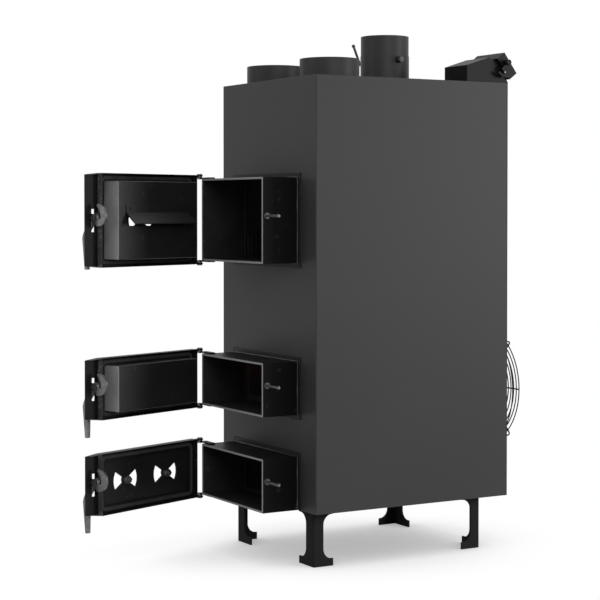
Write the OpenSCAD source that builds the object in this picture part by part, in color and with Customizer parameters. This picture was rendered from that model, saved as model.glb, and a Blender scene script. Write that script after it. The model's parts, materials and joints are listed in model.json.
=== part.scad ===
// Forced-air stove: a welded furnace inside a sheet casing, with three front doors,
// two hot air outlets, a flue with a damper, a cleaning hatch and a rear axial fan.
// Millimetres. The origin is on the floor under the middle of the casing.
// The front faces -Y, the flue points up along +Z.

/* [Casing] */
// Width of the casing, side to side
casing_w = 496; // [470:1:540]
// Depth of the casing, front to back
casing_d = 594; // [570:1:660]
// Height of the casing without its legs
casing_h = 1100; // [1085:1:1200]
// Thickness of the casing sheet
sheet_t = 2; // [1.2:0.1:3]

/* [Legs] */
// Height of the legs
leg_h = 142; // [110:1:200]
// Thickness of the leg plates
leg_t = 5; // [3:0.5:8]
// Width of a leg's front plate at its foot
leg_front_w = 74; // [64:1:90]
// Width of a leg's side plate at its foot
leg_side_w = 58; // [50:1:70]
// How far a leg's front plate steps in above its foot
leg_front_cut = 35; // [26:1:42]
// How far a leg's side plate steps in above its foot
leg_side_cut = 29; // [26:1:34]
// Radius of the concave flares of a leg
leg_flare_r = 26; // [15:1:26]
// Height of the straight edge at a leg's foot
leg_foot_h = 19; // [10:1:30]
// Height of the straight edge at a leg's head
leg_head_h = 10; // [4:1:20]
// Distance from the casing's side to a leg
leg_inset_x = 44; // [20:1:60]
// Distance from the casing's front to the front legs
leg_inset_front = 20; // [5:1:50]
// Distance from the casing's back to the back legs
leg_inset_back = 58; // [20:1:80]

/* [Front ports] */
// Distance of the front ports from the casing's left side
port_left_gap = 74; // [70:1:90]
// Distance of the front ports from the casing's right side
port_right_gap = 86; // [80:1:100]
// How far the ports stand out of the casing's front
port_out = 104; // [80:1:140]
// Wall thickness of the ports
port_t = 5; // [3:0.5:6]
// Outer height of the upper port, for fuel
upper_port_h = 218; // [190:1:240]
// Height of the upper port's underside above the casing's underside
upper_port_z = 627; // [600:1:640]
// Outer height of the middle port, over the grate
middle_port_h = 136; // [128:1:160]
// Height of the middle port's underside above the casing's underside
middle_port_z = 242; // [236:1:260]
// Outer height of the lower port, for ash
lower_port_h = 136; // [128:1:160]
// Width of the trim frame around each port
trim_w = 12; // [6:1:20]
// Thickness of the trim frame
trim_t = 3; // [1.5:0.5:4]

/* [Doors] */
// Angle that the three front doors stand open, from closed
door_open = 69; // [0:1:120]
// Sheet thickness of the doors
door_t = 2; // [1.5:0.1:3]
// Depth of a door's folded rim
door_rim = 20; // [16:0.5:26]
// How far a door overlaps its port at the top, the bottom and the sides
door_lap = 10.5; // [10:0.5:14]
// Width of the latch flange at a door's free end
door_flange = 39; // [36:1:50]
// How far the port's edge enters a door's rim
port_seat = 8.4; // [7:0.2:10]
// Distance from the hinge axis to a door's hinged edge
hinge_gap = 12.5; // [11:0.5:18]
// Distance of the hinge axis in front of the rim's plane when a door is shut
hinge_front = 3.2; // [0:0.1:5]
// Radius of the hinge pins
pin_r = 4; // [3:0.5:5]
// Radius of the rope gaskets
rope_r = 5.5; // [4:0.1:5.8]
// How far the heat boxes stand proud of a door's sheet
heat_box_h = 52; // [40:1:60]
// Distance from a door's hinged edge to its heat box
heat_box_gap = 36; // [30:1:60]
// Sheet thickness of the heat boxes
heat_box_t = 2.5; // [1.5:0.5:4]

/* [Latches] */
// Radius of the catch pegs on the ports
peg_r = 4; // [3:0.5:5]
// How far a catch peg stands out of its port
peg_l = 64; // [56:1:70]
// Thickness of the latch levers
lever_t = 7; // [5:0.5:8]
// Drop of a latch handle below its pivot
handle_drop = 132; // [100:1:150]

/* [Air regulators] */
// Radius of the air regulator discs
disc_r = 50; // [46:1:54]
// Radius of the air openings
air_r = 44; // [36:1:46]
// Opening angle of each air sector
air_angle = 66; // [50:1:86]

/* [Outlets and flue] */
// Outer radius of the hot air outlet collars
outlet_r = 77; // [60:0.5:82]
// Height of the outlet collars
outlet_h = 49; // [40:1:80]
// Gap between an outlet collar and the casing's side
outlet_side_gap = 29.5; // [20:0.5:40]
// Gap between the outlet collars and the casing's front
outlet_front_gap = 27; // [15:1:40]
// Wall thickness of the outlet collars
outlet_t = 2; // [1:0.5:3]
// Outer radius of the flue
flue_r = 65; // [50:0.5:70]
// Height of the flue above the casing
flue_h = 131; // [110:1:200]
// Wall thickness of the flue
flue_t = 3; // [2:0.5:4]
// Distance of the flue behind the casing's middle
flue_y = 68; // [40:1:80]
// Height of the damper's spindle above the casing
damper_z = 66; // [50:1:80]
// Radius of the damper's spindle
spindle_r = 4; // [3:0.5:5]

/* [Cleaning hatch] */
// Outer width of the hatch neck
hatch_w = 103; // [90:1:108]
// Distance of the neck's right side from the casing's side
hatch_side_gap = 33; // [32:1:43]
// Length of the slanted hatch opening
hatch_l = 51.5; // [46:0.5:56]
// Lean of the hatch opening from upright
hatch_lean = 37; // [30:1:40]
// Height of the neck's front wall above the casing
hatch_front_h = 46; // [36:1:56]
// How far the hatch opening's lower edge stands behind the casing
hatch_back = 25; // [18:1:32]
// Wall thickness of the neck
hatch_t = 4; // [3:0.5:5]
// Depth of the hatch door's rim
hatch_rim = 28.5; // [24:0.5:34]

/* [Furnace] */
// Gap between the furnace and the casing's sides
furnace_side_gap = 53; // [48:1:63]
// Plate thickness of the furnace
furnace_t = 5; // [3:0.5:6]
// Height of the furnace above the casing's underside
furnace_h = 880; // [868:1:890]
// Gap between the casing's front and the furnace
furnace_front_gap = 22; // [12:1:40]
// Gap between the furnace and the casing's back, for the fan
furnace_back_gap = 117; // [110:1:140]
// Height of the grate's seat above the casing's underside
grate_z = 248; // [244:1:254]
// Thickness of the grate
grate_t = 16; // [10:1:20]
// Thickness of the firebricks
brick_t = 30; // [20:1:36]
// Height of the firebricks
brick_h = 450; // [380:1:500]

/* [Fan] */
// Radius of the fan's air opening
fan_r = 153; // [140:1:160]
// Height of the fan's axis above the casing's underside
fan_z = 270; // [230:1:300]
// How far the wire guard stands behind the casing
guard_out = 107; // [98:1:130]
// Radius of the guard's largest front ring
guard_r = 163; // [150:1:170]
// Radius of the guard's wire
wire_r = 1.6; // [1:0.1:2.5]

/* [Hidden] */
$fn = 48;

// Overrun of cuts past the faces that they open
over = 1;
// Gap between parts that are fitted together
fit = 0.3;
// Radial clearance of a running fit
run = 0.05;

// Heights and planes of the casing
base_z = leg_h;
top_z = base_z + casing_h;
front_y = -casing_d / 2;
back_y = casing_d / 2;
side_x = casing_w / 2;

// Ports as [underside above the casing's underside, height], from the top down
PORTS = [[upper_port_z, upper_port_h], [middle_port_z, middle_port_h], [0, lower_port_h]];
port_left = -side_x + port_left_gap;
port_right = side_x - port_right_gap;
port_w = port_right - port_left;
mouth_y = front_y - port_out;

// Outlet collars from the casing's middle
outlet_x = side_x - outlet_r - outlet_side_gap;
outlet_y = -front_y - outlet_r - outlet_front_gap;

// Furnace planes
furnace_y0 = front_y + furnace_front_gap;
furnace_y1 = back_y - furnace_back_gap;
furnace_w = casing_w - 2 * furnace_side_gap;
furnace_x = furnace_w / 2;
furnace_z0 = base_z + sheet_t;
furnace_z1 = base_z + furnace_h;

// Smoke box over the furnace
smoke_side_gap = 30;
smoke_w = casing_w - 2 * smoke_side_gap;
smoke_y0 = -60;
smoke_back_gap = 37;
smoke_y1 = back_y - smoke_back_gap;
smoke_z1_drop = 60;
smoke_z1 = top_z - smoke_z1_drop;
smoke_t = 4;
smoke_port_gap = 45;
smoke_port_w = furnace_w - 2 * smoke_port_gap;
smoke_port_y0 = 60;
smoke_port_y1 = 150;
baffle_drop = 80;
baffle_t = 5;
baffle_y0 = -130;

// Door frame: the hinge axis is the door's own origin, u runs along the door and n inwards
door_l = port_w + 2 * door_lap;
hinge_x = port_left - door_lap - hinge_gap;
hinge_y = mouth_y + port_seat - hinge_front;
rim_n = hinge_front;
sheet_n = rim_n - door_rim;
door_u1 = hinge_gap + door_l;
flange_u1 = door_u1 + door_flange;
flange_step = 4;
strip_gap = 18;
strip_h = 9;
rope_gap = 12;
ear_r = 9;
ear_t = 3;
lug_t = 4;
lug_l = 52;
lug_w = 20;
pin_head_r = 7;
pin_head_t = 3;
pin_dip = 1;

// Heat box on the upper and middle doors
box_u0 = hinge_gap + heat_box_gap;
box_end_gap = 27.5;
box_u1 = door_u1 - box_end_gap;
box_edge = 9.5;

// Latch: the pivot's place on the flange, and the peg's place from the pivot
latch_gap = 11;
latch_u = door_u1 + latch_gap;
pivot_up = 7.5;
pivot_in = 5;
pivot_n = sheet_n + pivot_in;
pivot_r = 3;
peg_up = 4;
peg_back = 17.8;
peg_play = 1;
peg_nut_r = 8;
peg_washer_t = 1.5;
peg_angle = atan2(peg_up, peg_back);
peg_reach = norm([peg_back, peg_up]);
slot_side = 5;
slot_up = 21;
slot_down = 37;
hub_r = 9;
hook_c = [15.5, 5.5];
hook_r = 28.5;
hook_low_angle = -66;
hook_tip_angle = 68;
hook_play = 2;
hook_end_angle = 21;
hook_slot_c = [-6, 2];
hook_slot_r = 31.3;
lug_gap = 2;
lug_play = 0.5;
pivot_lug_t = 3;
pivot_lug_h = 9;
handle_root_top = [-6, 6];
handle_root_low = [4, -12];
handle_shoulder = [-31, -30];
handle_knee = [-39, -46];
handle_inner_top = [-19, -40];
handle_tip_out = -30;
handle_tip_in = -22;
handle_t = 11;
handle_grip_drop = 50;
bolt_head_t = 4;
bolt_head_r = 5.5;

// Regulators: places along the door from its hinged edge, as shares of the door
lower_disc_shares = [0.2933, 0.7078];
upper_disc_share = 0.549;
lower_disc_us = door_l * lower_disc_shares;
upper_disc_u = door_l * upper_disc_share;
disc_t = 2.5;
disc_bolt_r = 4;
disc_bolt_head_r = 8;
disc_bolt_head_t = 5;
disc_nut_t = 6;
disc_washer_r = 10.5;
disc_washer_t = 2;
disc_sleeve_r = 6.5;
disc_sleeve_l = 6;
disc_stud_end = 2;
disc_hub_r = 13;
disc_tab = [14, 16, 3];

// Deflector hood on the upper door's heat box, over its air slot
hood_start = 37;
hood_end_gap = 26.5;
hood_u0 = heat_box_gap + hood_start;
hood_u1 = door_l - box_end_gap - hood_end_gap;
hood_z = 126;
hood_depth = 32;
hood_down = 27;
hood_t = 3;
hood_flange = 22;
air_slot_h = 27;
air_slot_gap = 4;
air_slot_margin = 12;

// Hatch frame: x runs along the hatch, y outwards and z up the slanted opening
hatch_right = side_x - hatch_side_gap;
hatch_left = hatch_right - hatch_w;
hatch_y0 = back_y + hatch_back;
hatch_lip = 22.5;
hatch_z0 = top_z + hatch_lip;
hatch_collar = 2;
hatch_sill = 4;
hatch_ridge = [32, 5];
hatch_neck_d = 74;
hatch_neck_out = 2;
hatch_neck_y1 = smoke_y1 + hatch_neck_out;
hatch_neck_y0 = hatch_neck_y1 - hatch_neck_d;
hatch_lap = 8;
hatch_side_lap = 10;
hatch_hinge_gap = hinge_gap;
hatch_hinge_x = hatch_left - hatch_side_lap - hatch_hinge_gap;
hatch_seat = 7;
hatch_rope_r = 4.5;
hatch_pin_r = 3;
hatch_ear_r = 7;
hatch_lug_t = 3;
hatch_lug_l = 34;
hatch_pivot = [8, 36];
hatch_peg = [-17.5, 21.5];
hatch_pad_t = 10;
hatch_pad_lap = 2.5;
hatch_peg_r = 3;
hatch_peg_l = 24;
hatch_lever_t = 4;
hatch_lever_gap = 3;
hatch_hub_r = 7;
hatch_pivot_r = 2.5;
hatch_hook_angles = [-34, 22];
hatch_slot_angles = [-12, 30];
hatch_knob_l = 10;
hatch_knob_w = 9;
hatch_knob_t = 4.6;

// Damper
plate_gap = 2;
plate_t = 3;
plate_tube_r = 6.5;
bush_r = 9;
bush_out = 13;
spindle_right = 84;
spindle_left = 126;
damper_lever = [34, 54];
damper_rod_r = 3.5;
damper_ball_r = 5;
spindle_nut_r = 8;
nut_t = 5;

// Step in the flue that a stove pipe comes to rest on
flue_step = 1;

// Fan
fan_plate_t = 3;
fan_tube_l = 50;
fan_tube_t = 2;
guard_pitch = 12;
guard_rings = 11;
guard_arm_gap = 30;
guard_arm_r = fan_r + guard_arm_gap;
hoop_n = 2;
motor_r = 48;
motor_can_r = 47;
motor_t = 8;
motor_lap = 2;
rotor_r = 44;
rotor_l = 64;
rotor_gap = 3;
shaft_r = 6;
blade_n = 5;
blade_l = 104;
blade_w = 100;
blade_root_w = 50;
blade_t = 2.5;
blade_pitch = 28;
foot_r = 9;
arm_r = 2;
foot_t = 3;
screw_r = 4;
screw_head_r = 7;

// Grate and lining
ledge_w = 50;
ledge_t = 6;
brick_w = 60;
brick_gap = 2;
grate_slot = 12;
grate_bar = 12;
grate_rim = 16;
grate_gap = 3;
fin_n = 5;
fin_w = 30;
fin_t = 3;
fin_h = 600;
fin_z = 140;

// A box between two corners
module block(lo, hi) {
    translate(lo) cube(hi - lo);
}

// A wedge of a circle between two angles, for angles under half a turn apart
module wedge(r, a0, a1) {
    mid = (a0 + a1) / 2;
    reach = 2 * r;
    intersection() {
        circle(r);
        polygon([[0, 0], reach * [cos(a0), sin(a0)], reach * [cos(mid), sin(mid)],
            reach * [cos(a1), sin(a1)]]);
    }
}

// A cylinder between two points
module rod(a, b, r) {
    d = b - a;
    translate(a)
        rotate([0, acos(d[2] / norm(d)), atan2(d[1], d[0])])
            cylinder(r = r, h = norm(d));
}

// A closed loop of rope round a rectangle in the XZ plane, at depth y
module rope_loop(x0, x1, z0, z1, y, r) {
    corners = [[x0, y, z0], [x1, y, z0], [x1, y, z1], [x0, y, z1]];
    for (i = [0 : 3]) {
        rod(corners[i], corners[(i + 1) % 4], r);
        translate(corners[i]) sphere(r);
    }
}

// Colours
module casing_paint() { color([0.30, 0.31, 0.33]) children(); }
module black_paint() { color([0.13, 0.13, 0.14]) children(); }
module zinc() { color([0.72, 0.73, 0.74]) children(); }
module iron() { color([0.22, 0.21, 0.21]) children(); }

// Casing

module port_holes(grow, y0, y1) {
    for (p = PORTS)
        block([port_left - grow, y0, base_z + p[0] - grow],
            [port_right + grow, y1, base_z + p[0] + p[1] + grow]);
}

module front_panel() {
    casing_paint() difference() {
        block([-side_x, front_y, base_z], [side_x, front_y + sheet_t, top_z]);
        port_holes(fit, front_y - over, front_y + sheet_t + over);
    }
}

module side_panel(side) {
    casing_paint() translate([side * (side_x - sheet_t / 2), 0, 0])
        block([-sheet_t / 2, front_y + sheet_t, base_z], [sheet_t / 2, back_y - sheet_t, top_z]);
}

module left_panel() { side_panel(-1); }
module right_panel() { side_panel(1); }

module back_panel() {
    casing_paint() difference() {
        block([-side_x, back_y - sheet_t, base_z], [side_x, back_y, top_z]);
        translate([0, back_y + over, base_z + fan_z])
            rotate([90, 0, 0]) cylinder(r = fan_r + fit, h = sheet_t + 2 * over, $fn = 96);
        fan_bolts(screw_r + fit, back_y - sheet_t - over, back_y + over);
    }
}

module top_panel() {
    casing_paint() difference() {
        block([-side_x + sheet_t, front_y + sheet_t, top_z - sheet_t],
            [side_x - sheet_t, back_y - sheet_t, top_z]);
        for (s = [-1, 1]) translate([s * outlet_x, -outlet_y, top_z - sheet_t - over])
            cylinder(r = outlet_r - outlet_t, h = sheet_t + 2 * over, $fn = 96);
        translate([0, flue_y, top_z - sheet_t - over])
            cylinder(r = flue_r + flue_step + fit, h = sheet_t + 2 * over, $fn = 96);
        block([hatch_left - fit, hatch_neck_y0 - fit, top_z - sheet_t - over],
            [hatch_right + fit, hatch_neck_y1 + fit, top_z + over]);
    }
}

module bottom_panel() {
    casing_paint() difference() {
        block([-side_x + sheet_t, front_y + sheet_t, base_z],
            [side_x - sheet_t, back_y - sheet_t, base_z + sheet_t]);
        port_holes(fit, front_y - over, furnace_y0 + fit);
    }
}

// Legs: two flared plates that meet in an outer corner

module leg_plate(w, cut) {
    shaft = w - cut;
    low = leg_foot_h + leg_flare_r;
    high = leg_h - leg_head_h - leg_flare_r;
    difference() {
        square([w, leg_h]);
        for (z = [low, high]) translate([shaft + leg_flare_r, z]) circle(leg_flare_r, $fn = 64);
        translate([shaft, low]) square([cut + over, high - low]);
        translate([shaft + leg_flare_r, leg_foot_h])
            square([cut - leg_flare_r + over, leg_h - leg_foot_h - leg_head_h]);
    }
}

module leg(sx, sy) {
    x = side_x - leg_inset_x;
    y = sy < 0 ? front_y + leg_inset_front : back_y - leg_inset_back;
    black_paint() translate([sx * x, y, 0]) mirror([sx > 0 ? 1 : 0, 0, 0]) mirror([0, sy > 0 ? 1 : 0, 0]) {
        translate([0, leg_t, 0]) rotate([90, 0, 0]) linear_extrude(leg_t) leg_plate(leg_front_w, leg_front_cut);
        rotate([90, 0, 90]) linear_extrude(leg_t) leg_plate(leg_side_w, leg_side_cut);
    }
}

module leg_front_left() { leg(-1, -1); }
module leg_front_right() { leg(1, -1); }
module leg_back_left() { leg(-1, 1); }
module leg_back_right() { leg(1, 1); }

// Front ports

module port(p) {
    black_paint() difference() {
        block([port_left, mouth_y, base_z + p[0]], [port_right, furnace_y0, base_z + p[0] + p[1]]);
        block([port_left + port_t, mouth_y - over, base_z + p[0] + port_t],
            [port_right - port_t, furnace_y0 + over, base_z + p[0] + p[1] - port_t]);
    }
}

module upper_port() { port(PORTS[0]); }
module middle_port() { port(PORTS[1]); }
module lower_port() { port(PORTS[2]); }

module port_trims() {
    black_paint() for (p = PORTS) difference() {
        block([port_left - trim_w, front_y - trim_t, base_z + max(p[0] - trim_w, 0)],
            [port_right + trim_w, front_y, base_z + p[0] + p[1] + trim_w]);
        block([port_left - fit, front_y - trim_t - over, base_z + p[0] - (p[0] > 0 ? fit : over)],
            [port_right + fit, front_y + over, base_z + p[0] + p[1] + fit]);
    }
}

// Furnace

module furnace_body() {
    iron() difference() {
        block([-furnace_x, furnace_y0, furnace_z0], [furnace_x, furnace_y1, furnace_z1]);
        block([-furnace_x + furnace_t, furnace_y0 + furnace_t, furnace_z0 + furnace_t],
            [furnace_x - furnace_t, furnace_y1 - furnace_t, furnace_z1 - furnace_t]);
        for (p = PORTS)
            block([port_left + port_t, furnace_y0 - over, max(base_z + p[0] + port_t, furnace_z0 + furnace_t)],
                [port_right - port_t, furnace_y0 + furnace_t + over, base_z + p[0] + p[1] - port_t]);
        block([-smoke_port_w / 2, smoke_port_y0, furnace_z1 - furnace_t - over],
            [smoke_port_w / 2, smoke_port_y1, furnace_z1 + over]);
    }
}

module smoke_box() {
    iron() difference() {
        block([-smoke_w / 2, smoke_y0, furnace_z1], [smoke_w / 2, smoke_y1, smoke_z1]);
        block([-smoke_w / 2 + smoke_t, smoke_y0 + smoke_t, furnace_z1 + smoke_t],
            [smoke_w / 2 - smoke_t, smoke_y1 - smoke_t, smoke_z1 - smoke_t]);
        block([-smoke_port_w / 2, smoke_port_y0, furnace_z1 - over],
            [smoke_port_w / 2, smoke_port_y1, furnace_z1 + smoke_t + over]);
        translate([0, flue_y, smoke_z1 - smoke_t - over])
            cylinder(r = flue_r - flue_t, h = smoke_t + 2 * over, $fn = 96);
        block([hatch_left + hatch_t, hatch_neck_y0 + hatch_t, smoke_z1 - smoke_t - over],
            [hatch_right - hatch_t, smoke_y1 - smoke_t, smoke_z1 + over]);
    }
}

module smoke_baffle() {
    z = furnace_z1 - baffle_drop;
    iron() block([-furnace_x + furnace_t, baffle_y0, z],
        [furnace_x - furnace_t, furnace_y1 - furnace_t, z + baffle_t]);
}

lining_y0 = furnace_y0 + furnace_t + 2 * brick_gap;
lining_y1 = furnace_y1 - furnace_t;
side_bricks = floor((lining_y1 - lining_y0) / (brick_w + brick_gap));
back_bricks = floor((furnace_w - 2 * furnace_t - 2 * brick_t) / (brick_w + brick_gap));

module firebrick_lining() {
    z = base_z + grate_z;
    color([0.52, 0.36, 0.29]) {
        for (s = [-1, 1], i = [0 : side_bricks - 1]) {
            x = s * (furnace_x - furnace_t - brick_t / 2);
            y = lining_y0 + i * (brick_w + brick_gap);
            block([x - brick_t / 2, y, z], [x + brick_t / 2, y + brick_w, z + brick_h]);
        }
        for (i = [0 : back_bricks - 1]) {
            x = (i - back_bricks / 2) * (brick_w + brick_gap) + brick_gap / 2;
            block([x, lining_y1 - brick_t, z], [x + brick_w, lining_y1, z + brick_h]);
        }
    }
}

module brick_ledges() {
    z = base_z + grate_z;
    x = furnace_x - furnace_t;
    iron() {
        for (s = [-1, 1]) translate([s * (x - ledge_w / 2), 0, 0])
            block([-ledge_w / 2, furnace_y0 + furnace_t, z - ledge_t], [ledge_w / 2, lining_y1, z]);
        block([-x + ledge_w, lining_y1 - ledge_w, z - ledge_t], [x - ledge_w, lining_y1, z]);
    }
}

module grate() {
    x = furnace_x - furnace_t - brick_t - grate_gap;
    y0 = lining_y0;
    y1 = lining_y1 - brick_t - grate_gap;
    z = base_z + grate_z;
    slots = floor((2 * x - 2 * grate_rim + grate_bar) / (grate_slot + grate_bar));
    iron() difference() {
        block([-x, y0, z], [x, y1, z + grate_t]);
        for (i = [0 : slots - 1], half = [0, 1]) {
            sx = (i - (slots - 1) / 2) * (grate_slot + grate_bar);
            mid = (y0 + y1) / 2;
            a = half == 0 ? y0 + grate_rim : mid + grate_bar / 2;
            b = half == 0 ? mid - grate_bar / 2 : y1 - grate_rim;
            block([sx - grate_slot / 2, a, z - over], [sx + grate_slot / 2, b, z + grate_t + over]);
        }
    }
}

module air_fins() {
    pitch = (furnace_y1 - furnace_y0) / (fin_n + 1);
    iron() for (s = [-1, 1], i = [1 : fin_n])
        translate([s * (furnace_x + fin_w / 2), furnace_y0 + i * pitch, base_z + fin_z])
            block([-fin_w / 2, -fin_t / 2, 0], [fin_w / 2, fin_t / 2, fin_h]);
}

// Hot air outlets, flue and damper

module outlet_collars() {
    flange = trim_w;
    casing_paint() for (s = [-1, 1]) translate([s * outlet_x, -outlet_y, top_z]) difference() {
        union() {
            cylinder(r = outlet_r, h = outlet_h, $fn = 96);
            cylinder(r = outlet_r + flange, h = outlet_t, $fn = 96);
        }
        translate([0, 0, -over]) cylinder(r = outlet_r - outlet_t, h = outlet_h + 2 * over, $fn = 96);
    }
}

module flue() {
    seat_z = top_z + damper_z + bush_r + flue_t;
    black_paint() difference() {
        union() {
            translate([0, flue_y, smoke_z1]) cylinder(r = flue_r + flue_step, h = seat_z - smoke_z1, $fn = 96);
            translate([0, flue_y, smoke_z1]) cylinder(r = flue_r, h = top_z + flue_h - smoke_z1, $fn = 96);
        }
        translate([0, flue_y, smoke_z1 - over])
            cylinder(r = flue_r - flue_t, h = top_z + flue_h - smoke_z1 + 2 * over, $fn = 96);
        translate([-flue_r - over, flue_y, top_z + damper_z])
            rotate([0, 90, 0]) cylinder(r = bush_r + run, h = 2 * (flue_r + over));
    }
}

module damper_bushes() {
    zinc() for (s = [-1, 1]) translate([0, flue_y, top_z + damper_z]) rotate([0, s * 90, 0])
        difference() {
            translate([0, 0, flue_r - flue_t]) cylinder(r = bush_r, h = flue_t + bush_out);
            translate([0, 0, flue_r - flue_t - over])
                cylinder(r = spindle_r + run, h = flue_t + bush_out + 2 * over);
        }
}

module damper_plate() {
    r = flue_r - flue_t - plate_gap;
    iron() translate([0, flue_y, top_z + damper_z]) difference() {
        union() {
            rotate([90, 0, 0]) translate([0, 0, -plate_t / 2]) cylinder(r = r, h = plate_t, $fn = 96);
            rotate([0, 90, 0]) translate([0, 0, -(r - plate_gap)])
                cylinder(r = plate_tube_r, h = 2 * (r - plate_gap));
        }
        rotate([0, 90, 0]) translate([0, 0, -r - over]) cylinder(r = spindle_r + run, h = 2 * (r + over));
    }
}

module damper_spindle() {
    z = top_z + damper_z;
    bend = [-spindle_left, flue_y, z];
    tip = bend + [-damper_lever[0], 0, damper_lever[1]];
    zinc() {
        rod(bend, [spindle_right, flue_y, z], spindle_r);
        translate([flue_r + bush_out + fit, flue_y, z])
            rotate([0, 90, 0]) cylinder(r = spindle_nut_r, h = nut_t, $fn = 6);
        translate(bend) sphere(spindle_r);
        rod(bend, tip, damper_rod_r);
        translate(tip) sphere(damper_ball_r);
    }
}

// Cleaning hatch: a wedge shaped neck with a slanted opening at the back

module at_hatch() {
    translate([0, hatch_y0, hatch_z0]) rotate([hatch_lean, 0, 0]) children();
}

// A point of the neck's side view, from its place out of the hatch opening and up along it
function at_opening(y, z) = [
    hatch_y0 + y * cos(hatch_lean) - z * sin(hatch_lean),
    hatch_z0 + y * sin(hatch_lean) + z * cos(hatch_lean)];

// The neck's side view, at its outer faces or a wall's thickness inside them
module neck_outline(wall) {
    inside = wall > 0;
    collar = hatch_seat + hatch_collar;
    open = inside ? hatch_seat : 0;
    low = smoke_z1 - (inside ? over : 0);
    ridge = at_opening(0, hatch_l) + [-hatch_ridge[0], hatch_ridge[1]];
    polygon([
        [hatch_neck_y0 + wall, low],
        [hatch_neck_y0 + wall, top_z + hatch_front_h - wall],
        [ridge[0], ridge[1] - wall],
        at_opening(-collar, hatch_l - wall),
        at_opening(open, hatch_l - wall),
        at_opening(open, wall),
        at_opening(-collar, wall),
        [hatch_y0 - wall, top_z + hatch_sill + wall],
        [hatch_y0 - wall, top_z + fit + wall],
        [hatch_neck_y1 - wall, top_z + fit + wall],
        [hatch_neck_y1 - wall, low]]);
}

module hatch_neck() {
    black_paint() difference() {
        translate([hatch_left, 0, 0]) rotate([90, 0, 90]) linear_extrude(hatch_w) neck_outline(0);
        translate([hatch_left + hatch_t, 0, 0]) rotate([90, 0, 90])
            linear_extrude(hatch_w - 2 * hatch_t) neck_outline(hatch_t);
    }
    black_paint() at_hatch() for (z = [-hatch_lug_t, hatch_l])
        translate([hatch_hinge_x, -hatch_seat, z]) difference() {
            union() {
                cylinder(r = hatch_ear_r, h = hatch_lug_t);
                block([0, -2 * hatch_ear_r, 0], [hatch_lug_l, -fit, hatch_lug_t]);
            }
            translate([0, 0, -over]) cylinder(r = hatch_pin_r + run, h = hatch_lug_t + 2 * over);
        }
}

module hatch_door() {
    x0 = hatch_left - hatch_side_lap;
    x1 = hatch_right + hatch_side_lap;
    z0 = -hatch_lap;
    z1 = hatch_l + hatch_lap;
    y0 = -hatch_seat;
    y1 = hatch_rim - hatch_seat;
    black_paint() at_hatch() difference() {
        union() {
            difference() {
                block([x0, y0, z0], [x1, y1, z1]);
                block([x0 + door_t, y0 - over, z0 + door_t], [x1 - door_t, y1 - door_t, z1 - door_t]);
            }
            for (z = [z0, z1 - hatch_lug_t]) translate([hatch_hinge_x, y0, z]) {
                cylinder(r = hatch_ear_r, h = hatch_lug_t);
                block([0, 0, 0], [hatch_hinge_gap + door_t, hatch_ear_r, hatch_lug_t]);
            }
        }
        translate([hatch_hinge_x, y0, z0 - over])
            cylinder(r = hatch_pin_r + run, h = z1 - z0 + 2 * over);
        translate([x1 - door_t - over, hatch_pivot[0], hatch_pivot[1]])
            rotate([0, 90, 0]) cylinder(r = hatch_pivot_r + run, h = door_t + 2 * over);
    }
}

module hatch_pad() {
    y1 = hatch_rim - hatch_seat - door_t;
    color([0.62, 0.60, 0.56]) at_hatch()
        block([hatch_left - hatch_pad_lap, y1 - hatch_pad_t, -hatch_pad_lap],
            [hatch_right + hatch_pad_lap, y1, hatch_l + hatch_pad_lap]);
}

module hatch_gasket() {
    inset = hatch_t / 2;
    y = hatch_rim - hatch_seat - door_t - hatch_pad_t - hatch_rope_r - run;
    color([0.55, 0.53, 0.50]) at_hatch()
        rope_loop(hatch_left + inset, hatch_right - inset, inset, hatch_l - inset, y, hatch_rope_r);
}

module hatch_pin() {
    collar = hatch_lap - 2 * hatch_lug_t - 2 * run;
    zinc() at_hatch() for (s = [0, 1])
        translate([hatch_hinge_x, -hatch_seat, s * hatch_l]) mirror([0, 0, 1 - s]) {
            translate([0, 0, -pin_dip]) cylinder(r = hatch_pin_r, h = hatch_lap + pin_dip + fit);
            translate([0, 0, hatch_lug_t + run]) cylinder(r = hatch_ear_r - 2 * fit, h = collar);
            translate([0, 0, hatch_lap + fit / 2]) cylinder(r = hatch_ear_r - 2 * fit, h = hatch_lug_t);
        }
}

// The hatch catch: a hook on a spindle through the door's end wall, turned by a knob outside
module hatch_latch() {
    x = hatch_right + hatch_side_lap + hatch_lever_gap;
    peg = [hatch_pivot[0] - hatch_peg[0], hatch_peg[1] - hatch_pivot[1]];
    reach = norm(peg);
    angle = atan2(peg[1], peg[0]);
    play = hatch_peg_r + hook_play / 2;
    black_paint() at_hatch() translate([x, hatch_pivot[0], hatch_pivot[1]]) {
        mirror([0, 1, 0]) rotate([90, 0, 90]) linear_extrude(hatch_lever_t) {
            circle(hatch_hub_r);
            difference() {
                wedge(reach + play + hatch_hub_r, angle + hatch_hook_angles[0], angle + hatch_hook_angles[1]);
                difference() {
                    wedge(reach + play, angle + hatch_slot_angles[0], angle + hatch_slot_angles[1]);
                    circle(reach - play);
                }
            }
        }
        rotate([0, 90, 0]) cylinder(r = hatch_hub_r, h = hatch_lever_t + hatch_knob_l);
        translate([hatch_lever_t + hatch_knob_l / 2, 0, 0]) rotate([45, 0, 0])
            block([-hatch_knob_l / 2, -hatch_knob_t / 2, 0], [hatch_knob_l / 2, hatch_knob_t / 2, hatch_knob_w]);
        rotate([0, -90, 0]) {
            cylinder(r = hatch_ear_r, h = hatch_lever_gap - fit);
            cylinder(r = hatch_pivot_r, h = hatch_lever_gap + door_t + nut_t);
            translate([0, 0, hatch_lever_gap + door_t + fit]) cylinder(r = hatch_ear_r, h = nut_t - 2 * fit);
        }
    }
}

// Fan

module at_fan() {
    translate([0, back_y, base_z + fan_z]) rotate([-90, 0, 0]) children();
}

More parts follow.
